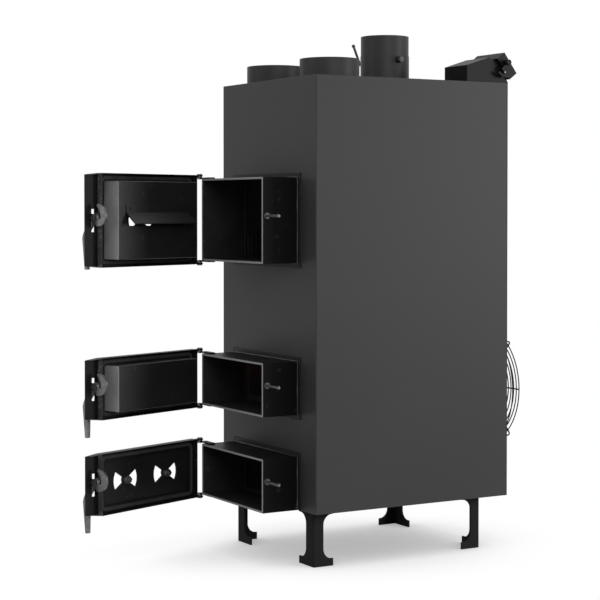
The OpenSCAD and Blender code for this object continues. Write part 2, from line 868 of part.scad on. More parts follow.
module fan_bolts(r, y0, y1) {
    for (a = [45 : 90 : 315])
        translate([guard_arm_r * cos(a), y0, base_z + fan_z + guard_arm_r * sin(a)])
            rotate([-90, 0, 0]) cylinder(r = r, h = y1 - y0);
}

module fan_ring() {
    outer = guard_arm_r + foot_r + fit;
    black_paint() difference() {
        at_fan() difference() {
            union() {
                cylinder(r = outer, h = fan_plate_t, $fn = 96);
                translate([0, 0, -fan_tube_l]) cylinder(r = fan_r, h = fan_tube_l + fan_plate_t, $fn = 96);
            }
            translate([0, 0, -fan_tube_l - over])
                cylinder(r = fan_r - fan_tube_t, h = fan_tube_l + fan_plate_t + 2 * over, $fn = 96);
        }
        fan_bolts(screw_r + fit, back_y - over, back_y + fan_plate_t + over);
    }
}

module guard_ring(r) {
    translate([0, 0, -wire_r]) difference() {
        cylinder(r = r + wire_r, h = 2 * wire_r, $fn = 96);
        translate([0, 0, -over]) cylinder(r = r - wire_r, h = 2 * wire_r + 2 * over, $fn = 96);
    }
}

module fan_guard() {
    z = guard_out - wire_r;
    zinc() at_fan() difference() {
        union() {
            for (i = [0 : guard_rings - 1]) if (guard_r - i * guard_pitch > motor_r + guard_pitch / 2)
                translate([0, 0, z]) guard_ring(guard_r - i * guard_pitch);
            translate([0, 0, z - wire_r - motor_lap]) cylinder(r = motor_r, h = 2 * motor_lap, $fn = 96);
            for (a = [0 : 45 : 315]) {
                long = a % 90 == 45;
                end = long ? guard_arm_r + arm_r : guard_r + arm_r;
                rotate([0, 0, a]) {
                    block([motor_r - guard_pitch, -arm_r, z - wire_r], [end, arm_r, z + wire_r]);
                    if (long) {
                        block([guard_arm_r - arm_r, -arm_r, fan_plate_t + foot_t / 2],
                            [guard_arm_r + arm_r, arm_r, z]);
                        translate([guard_arm_r, 0, fan_plate_t]) cylinder(r = foot_r, h = foot_t);
                    }
                }
            }
        }
        translate([0, 0, -over]) cylinder(r = shaft_r + fit, h = 2 * guard_out);
    }
}

module guard_hoops() {
    zinc() at_fan() for (k = [1 : hoop_n])
        translate([0, 0, k * guard_out / (hoop_n + 1)]) guard_ring(guard_arm_r - arm_r - wire_r);
}

module fan_motor() {
    z = guard_out - 2 * wire_r - motor_lap;
    black_paint() at_fan() {
        translate([0, 0, z - motor_t]) cylinder(r = motor_can_r, h = motor_t, $fn = 96);
        translate([0, 0, z - motor_t - rotor_gap - rotor_l - over])
            cylinder(r = shaft_r, h = motor_t + rotor_gap + rotor_l + over);
    }
}

module fan_impeller() {
    z = guard_out - 2 * wire_r - motor_lap - motor_t - rotor_gap;
    blade_r0 = rotor_r - over;
    color([0.16, 0.17, 0.18]) at_fan() difference() {
        union() {
            translate([0, 0, z - rotor_l]) cylinder(r = rotor_r, h = rotor_l, $fn = 96);
            for (i = [0 : blade_n - 1]) rotate([0, 0, i * 360 / blade_n])
                translate([blade_r0, 0, z - rotor_l / 2]) rotate([blade_pitch, 0, 0])
                    translate([0, 0, -blade_t / 2]) linear_extrude(blade_t) polygon([
                        [0, -blade_root_w / 2], [blade_l, -blade_w / 2],
                        [blade_l, blade_w / 2], [0, blade_root_w / 2]]);
        }
        translate([0, 0, z - rotor_l - over]) cylinder(r = shaft_r + run, h = rotor_l + 2 * over);
    }
}

module fan_screws() {
    zinc() {
        fan_bolts(screw_r, back_y - sheet_t - nut_t, back_y + fan_plate_t - fit);
        difference() {
            fan_bolts(screw_head_r, back_y - sheet_t - nut_t, back_y - sheet_t - fit);
            fan_bolts(screw_r, back_y - sheet_t - nut_t - over, back_y);
        }
    }
}

// Hinges, pegs and nuts that the ports carry

module hinge_lug() {
    difference() {
        union() {
            cylinder(r = ear_r, h = lug_t);
            block([0, hinge_front + 2 * fit, 0], [lug_l, lug_w, lug_t]);
        }
        translate([0, 0, -over]) cylinder(r = pin_r + run, h = lug_t + 2 * over);
    }
}

module hinge_lugs() {
    black_paint() for (p = PORTS) translate([hinge_x, hinge_y, base_z + p[0]]) {
        translate([0, 0, p[1]]) hinge_lug();
        translate([0, 0, -lug_t]) hinge_lug();
    }
}

module hinge_pin() {
    collar = door_lap - ear_t - lug_t - 2 * run;
    translate([0, 0, -pin_dip]) cylinder(r = pin_r, h = pin_dip + door_lap + fit);
    translate([0, 0, lug_t + run]) cylinder(r = pin_head_r, h = collar);
    translate([0, 0, door_lap + fit / 2]) cylinder(r = pin_head_r, h = pin_head_t);
}

module hinge_pins() {
    zinc() for (p = PORTS) translate([hinge_x, hinge_y, base_z + p[0]]) {
        translate([0, 0, p[1]]) hinge_pin();
        mirror([0, 0, 1]) hinge_pin();
    }
}

function pivot_z(p) = p[1] / 2 + pivot_up;
peg_n = pivot_n + peg_back;

module latch_pegs() {
    zinc() {
        for (p = PORTS) translate([port_right, hinge_y + peg_n, base_z + p[0] + pivot_z(p) + peg_up])
            rotate([0, 90, 0]) cylinder(r = peg_r, h = peg_l);
        at_hatch() translate([hatch_right, hatch_peg[0], hatch_peg[1]])
            rotate([0, 90, 0]) cylinder(r = hatch_peg_r, h = hatch_peg_l);
    }
}

module peg_nuts() {
    zinc() for (p = PORTS) translate([port_right, hinge_y + peg_n, base_z + p[0] + pivot_z(p) + peg_up])
        rotate([0, 90, 0]) difference() {
            union() {
                cylinder(r = peg_nut_r, h = peg_washer_t);
                translate([0, 0, peg_washer_t]) cylinder(r = peg_nut_r - fit, h = nut_t, $fn = 6);
            }
            translate([0, 0, -over]) cylinder(r = peg_r + run, h = peg_washer_t + nut_t + 2 * over);
        }
}

// Doors

// Puts a door's pieces at their port, standing open
module at_door(p) {
    translate([hinge_x, hinge_y, base_z + p[0]]) rotate([0, 0, -door_open]) children();
}

// The openings of an air regulator, two sectors each side of its bolt
module air_sectors(h) {
    linear_extrude(h) for (s = [0, 180]) difference() {
        wedge(air_r, s - air_angle / 2, s + air_angle / 2);
        circle(disc_hub_r);
    }
}

module at_disc(u, z) {
    translate([hinge_gap + u, sheet_n, z]) rotate([90, 0, 0]) children();
}

// The flange's outline, tapering a little to its free end
module flange_outline(z0, z1, edge) {
    u0 = door_u1 - door_t;
    polygon([[u0, z0 + edge], [flange_u1, z0 + flange_step + edge],
        [flange_u1, z1 - flange_step - edge], [u0, z1 - edge]]);
}

// The latch flange, with the door's top and bottom rims running out over it
module door_flange_plate(z0, z1) {
    u0 = door_u1 - door_t;
    translate([0, sheet_n, 0]) rotate([90, 0, 0]) linear_extrude(door_t) flange_outline(z0, z1, 0);
    intersection() {
        translate([0, 0, z0 - over]) linear_extrude(z1 - z0 + 2 * over)
            polygon([[u0, sheet_n - door_t], [flange_u1, sheet_n - door_t], [flange_u1, sheet_n + door_t], [u0, rim_n]]);
        translate([0, rim_n + over, 0]) rotate([90, 0, 0]) linear_extrude(door_rim + door_t + 2 * over) difference() {
            flange_outline(z0, z1, 0);
            flange_outline(z0, z1, door_t);
        }
    }
}

module door_tray(p, discs) {
    z0 = -door_lap;
    z1 = p[1] + door_lap;
    zp = pivot_z(p);
    difference() {
        union() {
            difference() {
                block([hinge_gap, sheet_n - door_t, z0], [door_u1, rim_n, z1]);
                block([hinge_gap + door_t, sheet_n, z0 + door_t], [door_u1 - door_t, rim_n + over, z1 - door_t]);
            }
            difference() {
                block([hinge_gap + strip_gap, sheet_n - door_t / 2, z0 + strip_gap],
                    [door_u1 - strip_gap, sheet_n + strip_h, z1 - strip_gap]);
                block([hinge_gap + strip_gap + door_t, sheet_n, z0 + strip_gap + door_t],
                    [door_u1 - strip_gap - door_t, sheet_n + strip_h + over, z1 - strip_gap - door_t]);
            }
            door_flange_plate(z0, z1);
            for (z = [z0, z1 - ear_t]) translate([0, 0, z]) {
                cylinder(r = ear_r, h = ear_t);
                block([0, -ear_r, 0], [hinge_gap + door_t, rim_n, ear_t]);
            }
            for (s = [-1, 1]) {
                side = slot_side + lug_play;
                u = latch_u + s * (side + pivot_lug_t / 2);
                block([u - pivot_lug_t / 2, sheet_n - door_t / 2, zp - pivot_lug_h],
                    [u + pivot_lug_t / 2, pivot_n + pivot_lug_h, zp + pivot_lug_h]);
            }
        }
        translate([0, 0, z0 - over]) cylinder(r = pin_r + run, h = z1 - z0 + 2 * over);
        block([latch_u - slot_side, sheet_n - door_t - over, zp - slot_down],
            [latch_u + slot_side, sheet_n + over, zp + slot_up]);
        block([door_u1 - door_t - over, peg_n - peg_r - peg_play, zp + peg_up - peg_r - peg_play],
            [door_u1 + over, rim_n + over, zp + peg_up + peg_r + peg_play]);
        translate([door_u1 + lug_gap, pivot_n, zp]) rotate([0, 90, 0])
            cylinder(r = pivot_r + run, h = door_flange);
        for (u = discs) at_disc(u, p[1] / 2) {
            translate([0, 0, -over]) air_sectors(door_t + 2 * over);
            translate([0, 0, -over]) cylinder(r = disc_bolt_r + run, h = door_t + 2 * over);
        }
    }
}

module heat_box(p, slot) {
    z0 = box_edge;
    z1 = p[1] - box_edge;
    n1 = sheet_n + heat_box_h;
    difference() {
        block([box_u0, sheet_n, z0], [box_u1, n1, z1]);
        block([box_u0 + heat_box_t, sheet_n - over, z0 + heat_box_t], [box_u1 - heat_box_t, n1 - heat_box_t, z1 - heat_box_t]);
        if (slot) block([hinge_gap + hood_u0 + air_slot_margin, n1 - heat_box_t - over, hood_z - air_slot_gap - air_slot_h],
            [hinge_gap + hood_u1 - air_slot_margin / 2, n1 + over, hood_z - air_slot_gap]);
    }
}

module door_gasket(p) {
    gap = rope_gap - door_lap;
    color([0.55, 0.53, 0.50])
        rope_loop(hinge_gap + rope_gap, door_u1 - rope_gap, gap, p[1] - gap, sheet_n + rope_r + run, rope_r);
}

module pivot_bolt(p) {
    u0 = latch_u - slot_side - lug_play - pivot_lug_t;
    u1 = latch_u + slot_side + lug_play + pivot_lug_t;
    translate([0, pivot_n, pivot_z(p)]) {
        translate([u0, 0, 0]) rotate([0, 90, 0]) cylinder(r = pivot_r, h = u1 - u0 + fit);
        translate([u1 + fit / 2, 0, 0]) rotate([0, 90, 0]) cylinder(r = bolt_head_r, h = bolt_head_t, $fn = 6);
    }
}

// The bolt of an air regulator, with a sleeve between two washers and a nut inside the door
module disc_bolt(p, u) {
    nut_z = 2 * disc_washer_t + disc_sleeve_l + disc_nut_t;
    inner = nut_z + disc_stud_end;
    at_disc(u, p[1] / 2) {
        translate([0, 0, -inner]) cylinder(r = disc_bolt_r, h = inner + door_t + disc_t + 2 * fit);
        translate([0, 0, -disc_washer_t]) cylinder(r = disc_washer_r, h = disc_washer_t, $fn = 32);
        translate([0, 0, -disc_washer_t - disc_sleeve_l])
            cylinder(r = disc_sleeve_r, h = disc_sleeve_l, $fn = 24);
        translate([0, 0, disc_nut_t - nut_z]) cylinder(r = disc_washer_r, h = disc_washer_t, $fn = 32);
        translate([0, 0, -nut_z]) cylinder(r = disc_bolt_head_r, h = disc_nut_t, $fn = 6);
        translate([0, 0, door_t + disc_t + 2 * fit]) cylinder(r = disc_bolt_head_r, h = disc_bolt_head_t, $fn = 24);
    }
}

module regulator(p, u) {
    at_disc(u, p[1] / 2) translate([0, 0, door_t + fit]) difference() {
        union() {
            cylinder(r = disc_r, h = disc_t, $fn = 96);
            translate([-disc_tab[0] / 2, disc_r - disc_tab[2], 0]) cube([disc_tab[0], disc_tab[2], disc_tab[1]]);
        }
        translate([0, 0, -over]) air_sectors(disc_t + 2 * over);
        translate([0, 0, -over]) cylinder(r = disc_bolt_r + run, h = disc_t + 2 * over);
    }
}

// A latch lever cut from one plate: hub, hook inside the door, handle outside it
module latch_lever(p) {
    inner = peg_reach - peg_r - hook_play;
    translate([latch_u, pivot_n, pivot_z(p)]) rotate([90, 0, 90]) {
        translate([0, 0, -lever_t / 2]) linear_extrude(lever_t) difference() {
            union() {
                circle(hub_r);
                intersection() {
                    translate(hook_c) circle(hook_r, $fn = 64);
                    difference() {
                        wedge(2 * hook_r, hook_low_angle, hook_tip_angle);
                        difference() {
                            intersection() {
                                translate(hook_slot_c) circle(hook_slot_r, $fn = 64);
                                wedge(2 * hook_r, peg_angle - hook_end_angle, hook_tip_angle + hook_end_angle);
                            }
                            circle(inner);
                        }
                    }
                }
                polygon([handle_root_top, handle_shoulder, handle_knee, [handle_tip_out, -handle_drop],
                    [handle_tip_in, -handle_drop], handle_inner_top, handle_root_low]);
            }
            circle(pivot_r + run);
        }
        translate([0, 0, -handle_t / 2]) linear_extrude(handle_t) intersection() {
            polygon([handle_knee, [handle_tip_out, -handle_drop], [handle_tip_in, -handle_drop], handle_inner_top]);
            translate([-handle_drop, -handle_drop - over]) square([handle_drop, handle_drop - handle_grip_drop + over]);
        }
    }
}

module upper_door() { black_paint() at_door(PORTS[0]) door_tray(PORTS[0], [upper_disc_u]); }
module upper_heat_box() { black_paint() at_door(PORTS[0]) heat_box(PORTS[0], true); }
module upper_gasket() { at_door(PORTS[0]) door_gasket(PORTS[0]); }
module upper_latch() { zinc() at_door(PORTS[0]) latch_lever(PORTS[0]); }
module upper_regulator() { black_paint() at_door(PORTS[0]) regulator(PORTS[0], upper_disc_u); }

module upper_bolts() {
    zinc() at_door(PORTS[0]) {
        pivot_bolt(PORTS[0]);
        disc_bolt(PORTS[0], upper_disc_u);
    }
}

module upper_deflector() {
    n = sheet_n + heat_box_h;
    black_paint() at_door(PORTS[0]) translate([hinge_gap + hood_u0, 0, 0])
        rotate([90, 0, 90]) linear_extrude(hood_u1 - hood_u0) polygon([
            [n, hood_z + hood_flange], [n, hood_z], [n + hood_depth, hood_z - hood_down],
            [n + hood_depth + hood_t, hood_z - hood_down + hood_t], [n + hood_t, hood_z + hood_t],
            [n + hood_t, hood_z + hood_flange]]);
}

module middle_door() { black_paint() at_door(PORTS[1]) door_tray(PORTS[1], []); }
module middle_heat_box() { black_paint() at_door(PORTS[1]) heat_box(PORTS[1], false); }
module middle_gasket() { at_door(PORTS[1]) door_gasket(PORTS[1]); }
module middle_bolts() { zinc() at_door(PORTS[1]) pivot_bolt(PORTS[1]); }
module middle_latch() { zinc() at_door(PORTS[1]) latch_lever(PORTS[1]); }

module lower_door() { black_paint() at_door(PORTS[2]) door_tray(PORTS[2], lower_disc_us); }
module lower_gasket() { at_door(PORTS[2]) door_gasket(PORTS[2]); }
module lower_latch() { zinc() at_door(PORTS[2]) latch_lever(PORTS[2]); }
module left_regulator() { black_paint() at_door(PORTS[2]) regulator(PORTS[2], lower_disc_us[0]); }
module right_regulator() { black_paint() at_door(PORTS[2]) regulator(PORTS[2], lower_disc_us[1]); }

module lower_bolts() {
    zinc() at_door(PORTS[2]) {
        pivot_bolt(PORTS[2]);
        for (u = lower_disc_us) disc_bolt(PORTS[2], u);
    }
}

front_panel();
left_panel();
right_panel();
back_panel();
top_panel();
bottom_panel();
leg_front_left();
leg_front_right();
leg_back_left();
leg_back_right();
upper_port();
middle_port();
lower_port();
port_trims();
furnace_body();
smoke_box();
smoke_baffle();
firebrick_lining();
brick_ledges();
grate();
air_fins();
outlet_collars();
flue();
damper_bushes();
damper_plate();
damper_spindle();
hatch_neck();
hatch_door();
hatch_pad();
hatch_gasket();
hatch_pin();
hatch_latch();
fan_ring();
fan_guard();
guard_hoops();
fan_motor();
fan_impeller();
fan_screws();
hinge_lugs();
hinge_pins();
latch_pegs();
peg_nuts();
upper_door();
upper_heat_box();
upper_gasket();
upper_deflector();
upper_bolts();
upper_latch();
upper_regulator();
middle_door();
middle_heat_box();
middle_gasket();
middle_bolts();
middle_latch();
lower_door();
lower_gasket();
lower_bolts();
lower_latch();
left_regulator();
right_regulator();
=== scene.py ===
"""Looks of a forced-air stove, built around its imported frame: paint, steel, brick and rope
finishes, braided door ropes, the fan's wire guard and blades, weld beads and the studio."""

import json
import math

import bmesh
import bpy
from bpy.props import FloatProperty, FloatVectorProperty, IntProperty, PointerProperty
from bpy.types import Operator, Panel, PropertyGroup
from mathutils import Matrix, Vector


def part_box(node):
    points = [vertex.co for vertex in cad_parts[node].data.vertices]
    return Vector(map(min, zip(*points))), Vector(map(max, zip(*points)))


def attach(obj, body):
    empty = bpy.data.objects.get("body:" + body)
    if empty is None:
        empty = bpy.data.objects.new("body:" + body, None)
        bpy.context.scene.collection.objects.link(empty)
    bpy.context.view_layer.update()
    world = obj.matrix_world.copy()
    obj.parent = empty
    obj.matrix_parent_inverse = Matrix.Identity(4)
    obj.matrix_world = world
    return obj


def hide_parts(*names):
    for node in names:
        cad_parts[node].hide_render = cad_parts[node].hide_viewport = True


bl_info = {
    "name": "Forced-Air Stove Finishes",
    "version": (1, 0, 0),
    "blender": (4, 5, 0),
    "location": "3D View > Sidebar > Stove",
    "description": "Finishes and fine pieces of a forced-air stove around its fixed frame",
    "category": "Object",
}

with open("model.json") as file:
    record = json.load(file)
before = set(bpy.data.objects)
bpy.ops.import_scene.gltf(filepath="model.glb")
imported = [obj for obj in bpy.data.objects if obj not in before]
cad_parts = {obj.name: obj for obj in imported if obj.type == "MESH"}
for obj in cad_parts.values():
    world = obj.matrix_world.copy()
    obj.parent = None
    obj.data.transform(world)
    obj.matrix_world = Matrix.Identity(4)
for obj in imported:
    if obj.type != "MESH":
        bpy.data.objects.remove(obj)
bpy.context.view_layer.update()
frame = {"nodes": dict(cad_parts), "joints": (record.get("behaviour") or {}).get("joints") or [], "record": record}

NODES = frame["nodes"]
BODIES = frame["record"]["behaviour"]["bodies"]
JOINTS = {joint["name"]: joint for joint in frame["joints"]}
BODY_OF = {name: body for body, names in BODIES.items() for name in names}

# Places of the frame, in metres, and its turns, in degrees. A port has the height of its
# bottom and its own height. A door is measured in its own frame: U runs along it from the
# hinge, N goes into the stove when the door is closed, and Z is up from the port's bottom.
LEG_TOP = 0.142
FRONT_Y, BACK_Y = -0.297, 0.297
MOUTH_Y = -0.401
PORTS = {"upper": (0.769, 0.218), "middle": (0.384, 0.136), "lower": (0.142, 0.136)}
PORT_LEFT, PORT_RIGHT = -0.174, 0.162
PORT_WALL = 0.005
DOOR_SWING = 69.0
DOOR_U0, DOOR_U1 = 0.0125, 0.3695
DOOR_SHEET_N = -0.0168
DOOR_LAP = 0.0105
HEAT_BOX_U0, HEAT_BOX_U1 = 0.0485, 0.3420
HEAT_BOX_N = 0.0352
HEAT_BOX_INSET = 0.0096
HATCH_PLACE = (0.0, 0.322, 1.2645)
HATCH_LEAN = 37.0
FAN_Z = 0.412

# Ropes, in metres. The hatch's rope runs between two heights of the slanted opening.
ROPE_GAP = 0.012
ROPE_R = 0.0055
ROPE_CORNER = 0.012
ROPE_STEP = 0.012
HATCH_ROPE_R = 0.0045
HATCH_ROPE_DEPTH = 0.0050
HATCH_ROPE_CORNER = 0.008
HATCH_ROPE_Z = (0.002, 0.0495)

# The fan's guard, measured from the casing's back and from the fan's middle, in metres
GUARD_DEPTH = 0.107
GUARD_RINGS, GUARD_RING_R, GUARD_RING_STEP = 10, 0.163, 0.012
GUARD_HOOP_R = 0.1794
GUARD_HOOP_HEIGHTS = (0.0357, 0.0713)
GUARD_ARM_START, GUARD_ARM_END = 0.040, 0.1646
GUARD_ARM_BEND = 0.012
GUARD_FOOT_R, GUARD_FOOT_TOP = 0.183, 0.006

# The fan's hub, as radius and height round its outline, and its blades, in metres
HUB_OUTLINE = ((0.0062, 0.0268), (0.0380, 0.0268), (0.0430, 0.0300), (0.0438, 0.0340),
               (0.0438, 0.0860), (0.0425, 0.0890), (0.0390, 0.0906), (0.0062, 0.0906))
BLADE_MIDDLE = 0.0588
BLADE_ROOT_R, BLADE_LENGTH = 0.041, 0.1055
BLADE_ROOT_WIDTH, BLADE_WIDENING = 0.052, 0.044
BLADE_CAMBER = 0.006
BLADE_THICKNESS = 0.0020

# Widths of rounded edges, in metres
SHEET_EDGE = 0.0004
FITTING_EDGE = 0.0005
PIPE_EDGE = 0.0006
TRIM_EDGE = 0.0008

# Angles between faces, in degrees: an edge is rounded above the first two, and shading is
# smooth below the others
SHARP, LEG_SHARP = 28.0, 50.0
SMOOTH, ROUND_SMOOTH, BLADE_SMOOTH = 50.0, 60.0, 35.0

# Each softbox: where it stands, what it looks at, its width and its height, in metres
SOFTBOXES = {
    "front_softbox": ((-0.95, -4.4, 1.2), (-0.1, -0.7, 0.6), 1.4, 2.4),
    "side_softbox": ((4.2, 3.9, 1.3), (0.25, 0.2, 0.75), 1.5, 1.9),
    "near_softbox": ((4.9, -1.5, 2.6), (0.1, -0.2, 0.6), 2.4, 2.2),
}


def swatch(name, words, colour):
    """A colour that the user can change."""
    return FloatVectorProperty(name=name, description=words, default=colour, size=3,
                               min=0.0, max=1.0, subtype="COLOR")


def length(name, words, value):
    """A length that the user can change."""
    return FloatProperty(name=name, description=words, default=value, min=0.0,
                         unit="LENGTH", precision=4)


class StovePaint(PropertyGroup):
    """Colours and gloss of the stove's finishes."""
    casing: swatch("Casing", "Powder coat of the casing", (0.050, 0.050, 0.051))
    legs: swatch("Legs", "Paint of the legs", (0.022, 0.022, 0.0225))
    hatch: swatch("Hatch", "Paint of the cleaning hatch", (0.0065, 0.0065, 0.0070))
    ports: swatch("Ports", "Heat paint of the ports", (0.0055, 0.0055, 0.0055))
    trims: swatch("Trims", "Paint of the ports' trim frames", (0.020, 0.020, 0.020))
    doors: swatch("Doors", "Heat paint of the doors", (0.0110, 0.0110, 0.0110))
    top: swatch("Flue", "Paint of the flue and the outlets", (0.042, 0.042, 0.043))
    # Bare steel is also the colour of the painted highlight on the port mouths, the painted sheen on the heat
    # boxes' ends and the painted light inside the ports.
    bare: swatch("Bare steel", "Cut and worn edges", (0.38, 0.38, 0.38))
    lever: swatch("Levers", "Cut steel of the latches", (0.15, 0.15, 0.15))
    dark: swatch("Dark steel", "The damper's spindle and bushes", (0.045, 0.045, 0.046))
    zinc: swatch("Zinc", "Plated pins, pegs and bolts", (0.11, 0.11, 0.113))
    brick: swatch("Firebrick", "Fired clay", (0.150, 0.072, 0.052))
    rope: swatch("Rope", "Sooty glass rope", (0.036, 0.035, 0.034))
    iron: swatch("Iron", "Sooty plate of the furnace", (0.030, 0.028, 0.026))
    coat_roughness: FloatProperty(name="Coat roughness", default=0.44, min=0.0, max=1.0,
                                  description="Roughness of the powder coat", subtype="FACTOR")
    heat_roughness: FloatProperty(name="Heat paint roughness", default=0.42, min=0.0, max=1.0,
                                  description="Roughness of the heat paint", subtype="FACTOR")


class StoveSizes(PropertyGroup):
    """Sizes of the fine pieces."""
    rope_strand: length("Rope strand", "Depth of the braid in the door ropes", 0.0010)
    wire: length("Guard wire", "Radius of the guard's wires", 0.0016)
    arm: length("Guard arm", "Radius of the guard's arms", 0.0020)
    bead: length("Weld bead", "Radius of the weld beads", 0.0022)
    spot: length("Spot weld", "Radius of a spot weld's mark", 0.0045)
    edge: length("Edge", "Rounding of cut plate edges", 0.0008)
    fold: length("Fold", "Rounding of the casing's folded edges", 0.0012)
    bend: length("Bend", "Rounding of the legs' outer corner", 0.0048)
    box_bend: length("Heat box bend", "Rounding of the heat boxes' edges", 0.0024)
    blades: IntProperty(name="Fan blades", description="Number of fan blades", default=5,
                        min=3, max=9)


class StoveStage(PropertyGroup):
    """Camera and lights."""
    lens: FloatProperty(name="Lens", description="Focal length", default=101.4, min=10.0,
                        unit="CAMERA")
    place: FloatVectorProperty(name="Camera", description="Place of the camera", size=3,
                               default=(3.8624, -2.44588, 0.90564), subtype="TRANSLATION")
    turn: FloatProperty(name="Turn", default=math.radians(59.805), subtype="ANGLE",
                        description="Turn of the camera to the left of straight ahead")
    pitch: FloatProperty(name="Pitch", description="Pitch of the camera below level",
                         default=math.radians(1.176), subtype="ANGLE")
    shift: FloatProperty(name="Shift", description="Upright shift of the lens", default=-0.09318)
    key: FloatProperty(name="Key", default=20.0, min=0.0,
                       description="Power of the front softbox")
    side: FloatProperty(name="Side", default=125.0, min=0.0,
                        description="Power of the softbox behind the right side")
    fill: FloatProperty(name="Fill", default=88.0, min=0.0,
                        description="Power of the softbox near the camera")
    sky: FloatProperty(name="Sky", default=0.30, min=0.0,
                       description="Strength of the room light")
    shadow: length("Shadow", "Reach of the shadow on the floor", 0.45)


class Wire:
    """A shader socket that takes part in sums as a number does."""

    def __init__(self, recipe, socket):
        self.recipe = recipe
        self.socket = socket

    def _math(self, operation, a, b=None, clamp=False):
        values = [a] if b is None else [a, b]
        return self.recipe.node("ShaderNodeMath", {"operation": operation, "use_clamp": clamp},
                                dict(enumerate(values)))

    def __add__(self, other):
        return self._math("ADD", self, other)

    __radd__ = __add__

    def __sub__(self, other):
        return self._math("SUBTRACT", self, other)

    def __rsub__(self, other):
        return self._math("SUBTRACT", other, self)

    def __mul__(self, other):
        return self._math("MULTIPLY", self, other)

    __rmul__ = __mul__

    def __lt__(self, other):
        return self._math("LESS_THAN", self, other)

    def __gt__(self, other):
        return self._math("GREATER_THAN", self, other)

    def sine(self):
        return self._math("SINE", self)

    def clamped(self):
        """Held between 0 and 1."""
        return self._math("ADD", self, 0.0, clamp=True)

    def smooth(self, low, high):
        """0 below low, 1 above high, and smooth between them."""
        return self.recipe.node(
            "ShaderNodeMapRange", {"interpolation_type": "SMOOTHSTEP"},
            {"Value": self, "From Min": low, "From Max": high, "To Min": 0.0, "To Max": 1.0})


class Nodes:
    """A node tree that nodes and sums are added to."""

    def __init__(self, tree):
        self.tree = tree

    def node(self, kind, settings, inputs, output=0):
        """A node of a kind with its settings, and the values or links of its sockets."""
        made = self.tree.nodes.new(kind)
        for key, value in settings.items():
            setattr(made, key, value)
        for key, value in inputs.items():
            self.feed(made.inputs[key], value)
        return Wire(self, made.outputs[output])

    def feed(self, socket, value):
        """Links a socket, or sets its value."""
        if isinstance(value, Wire):
            self.tree.links.new(value.socket, socket)
        elif isinstance(value, (tuple, list, Vector)) and socket.type == "RGBA":
            socket.default_value = (*value, 1.0)[:4]
        else:
            socket.default_value = value

    def seen(self):
        """1 for what the camera sees, straight or in metal and glass."""
        rays = self.tree.nodes.new("ShaderNodeLightPath")
        names = ("Is Camera Ray", "Is Glossy Ray", "Is Transmission Ray")
        straight, glossy, through = (Wire(self, rays.outputs[name]) for name in names)
        return (straight + glossy + through).clamped()


class Recipe(Nodes):
    """A material, made from one Principled shader and what feeds it."""

    def __init__(self, name, colour, roughness, metallic=0.0, specular=0.5):
        self.material = bpy.data.materials.new(name)
        self.material.use_nodes = True
        super().__init__(self.material.node_tree)
        self.shader = next(n for n in self.tree.nodes if n.type == "BSDF_PRINCIPLED")
        self.shader.inputs["Base Color"].default_value = (*colour, 1.0)
        self.shader.inputs["Roughness"].default_value = roughness
        self.shader.inputs["Metallic"].default_value = metallic
        self.shader.inputs["Specular IOR Level"].default_value = specular
        self.place = self.node("ShaderNodeTexCoord", {}, {}, "Object")

    def axis(self, index, vector=None):
        """One coordinate of a place: 0 is X, 1 is Y and 2 is Z."""
        split = self.tree.nodes.new("ShaderNodeSeparateXYZ")
        self.feed(split.inputs[0], vector or self.place)
        return Wire(self, split.outputs[index])

    def turned(self, angles, move=(0.0, 0.0, 0.0), scale=(1.0, 1.0, 1.0)):
        """Object coordinates that are scaled, turned and moved."""
        return self.node("ShaderNodeMapping", {}, {"Vector": self.place, "Location": move,
                                                   "Rotation": angles, "Scale": scale})

    def noise(self, scale, detail, rough, vector=None):
        return self.node("ShaderNodeTexNoise", {}, {"Vector": vector or self.place, "Scale": scale,
                                                    "Detail": detail, "Roughness": rough})

    def blend(self, factor, first, second):
        """The first colour where the factor is 0, and the second where it is 1."""
        made = self.tree.nodes.new("ShaderNodeMix")
        made.data_type = "RGBA"
        self.feed(made.inputs[0], factor)
        self.feed(made.inputs[6], first)
        self.feed(made.inputs[7], second)
        return Wire(self, made.outputs[2])

    def colour(self, wire):
        self.feed(self.shader.inputs["Base Color"], wire)

    def roughness(self, wire):
        self.feed(self.shader.inputs["Roughness"], wire)

    def relief(self, height, depth):
        made = self.node("ShaderNodeBump", {},
                         {"Height": height, "Distance": depth, "Strength": 1.0})
        self.feed(self.shader.inputs["Normal"], made)


def shade_of(colour, factor):
    """A colour times a factor."""
    return tuple(min(1.0, part * factor) for part in colour)


def door_frame(recipe):
    """Object coordinates turned into a door's own: along it, inwards and up."""
    swing = math.radians(DOOR_SWING)
    hinge = Vector(JOINTS["upper_door_hinge"]["pos_m"])
    hinge.z = 0.0
    return recipe.turned((0.0, 0.0, swing), move=-(Matrix.Rotation(swing, 3, "Z") @ hinge))


def powder_coat(name, colour, roughness, specular=0.12):
    """Satin powder coat: fine orange peel, a little dust and slow changes of gloss."""
    coat = Recipe(name, colour, roughness, specular=specular)
    peel = coat.noise(620.0, 2.0, 0.5)
    cloud = coat.noise(3.2, 3.0, 0.5)
    dust = coat.noise(95.0, 4.0, 0.6).smooth(0.62, 0.80)
    tone = coat.blend(cloud, shade_of(colour, 0.90), shade_of(colour, 1.12))
    coat.colour(coat.blend(dust * 0.16, tone, shade_of(colour, 2.4)))
    coat.roughness(roughness - 0.04 + cloud * 0.07 + dust * 0.05)
    coat.relief(peel, 0.00006)
    return coat


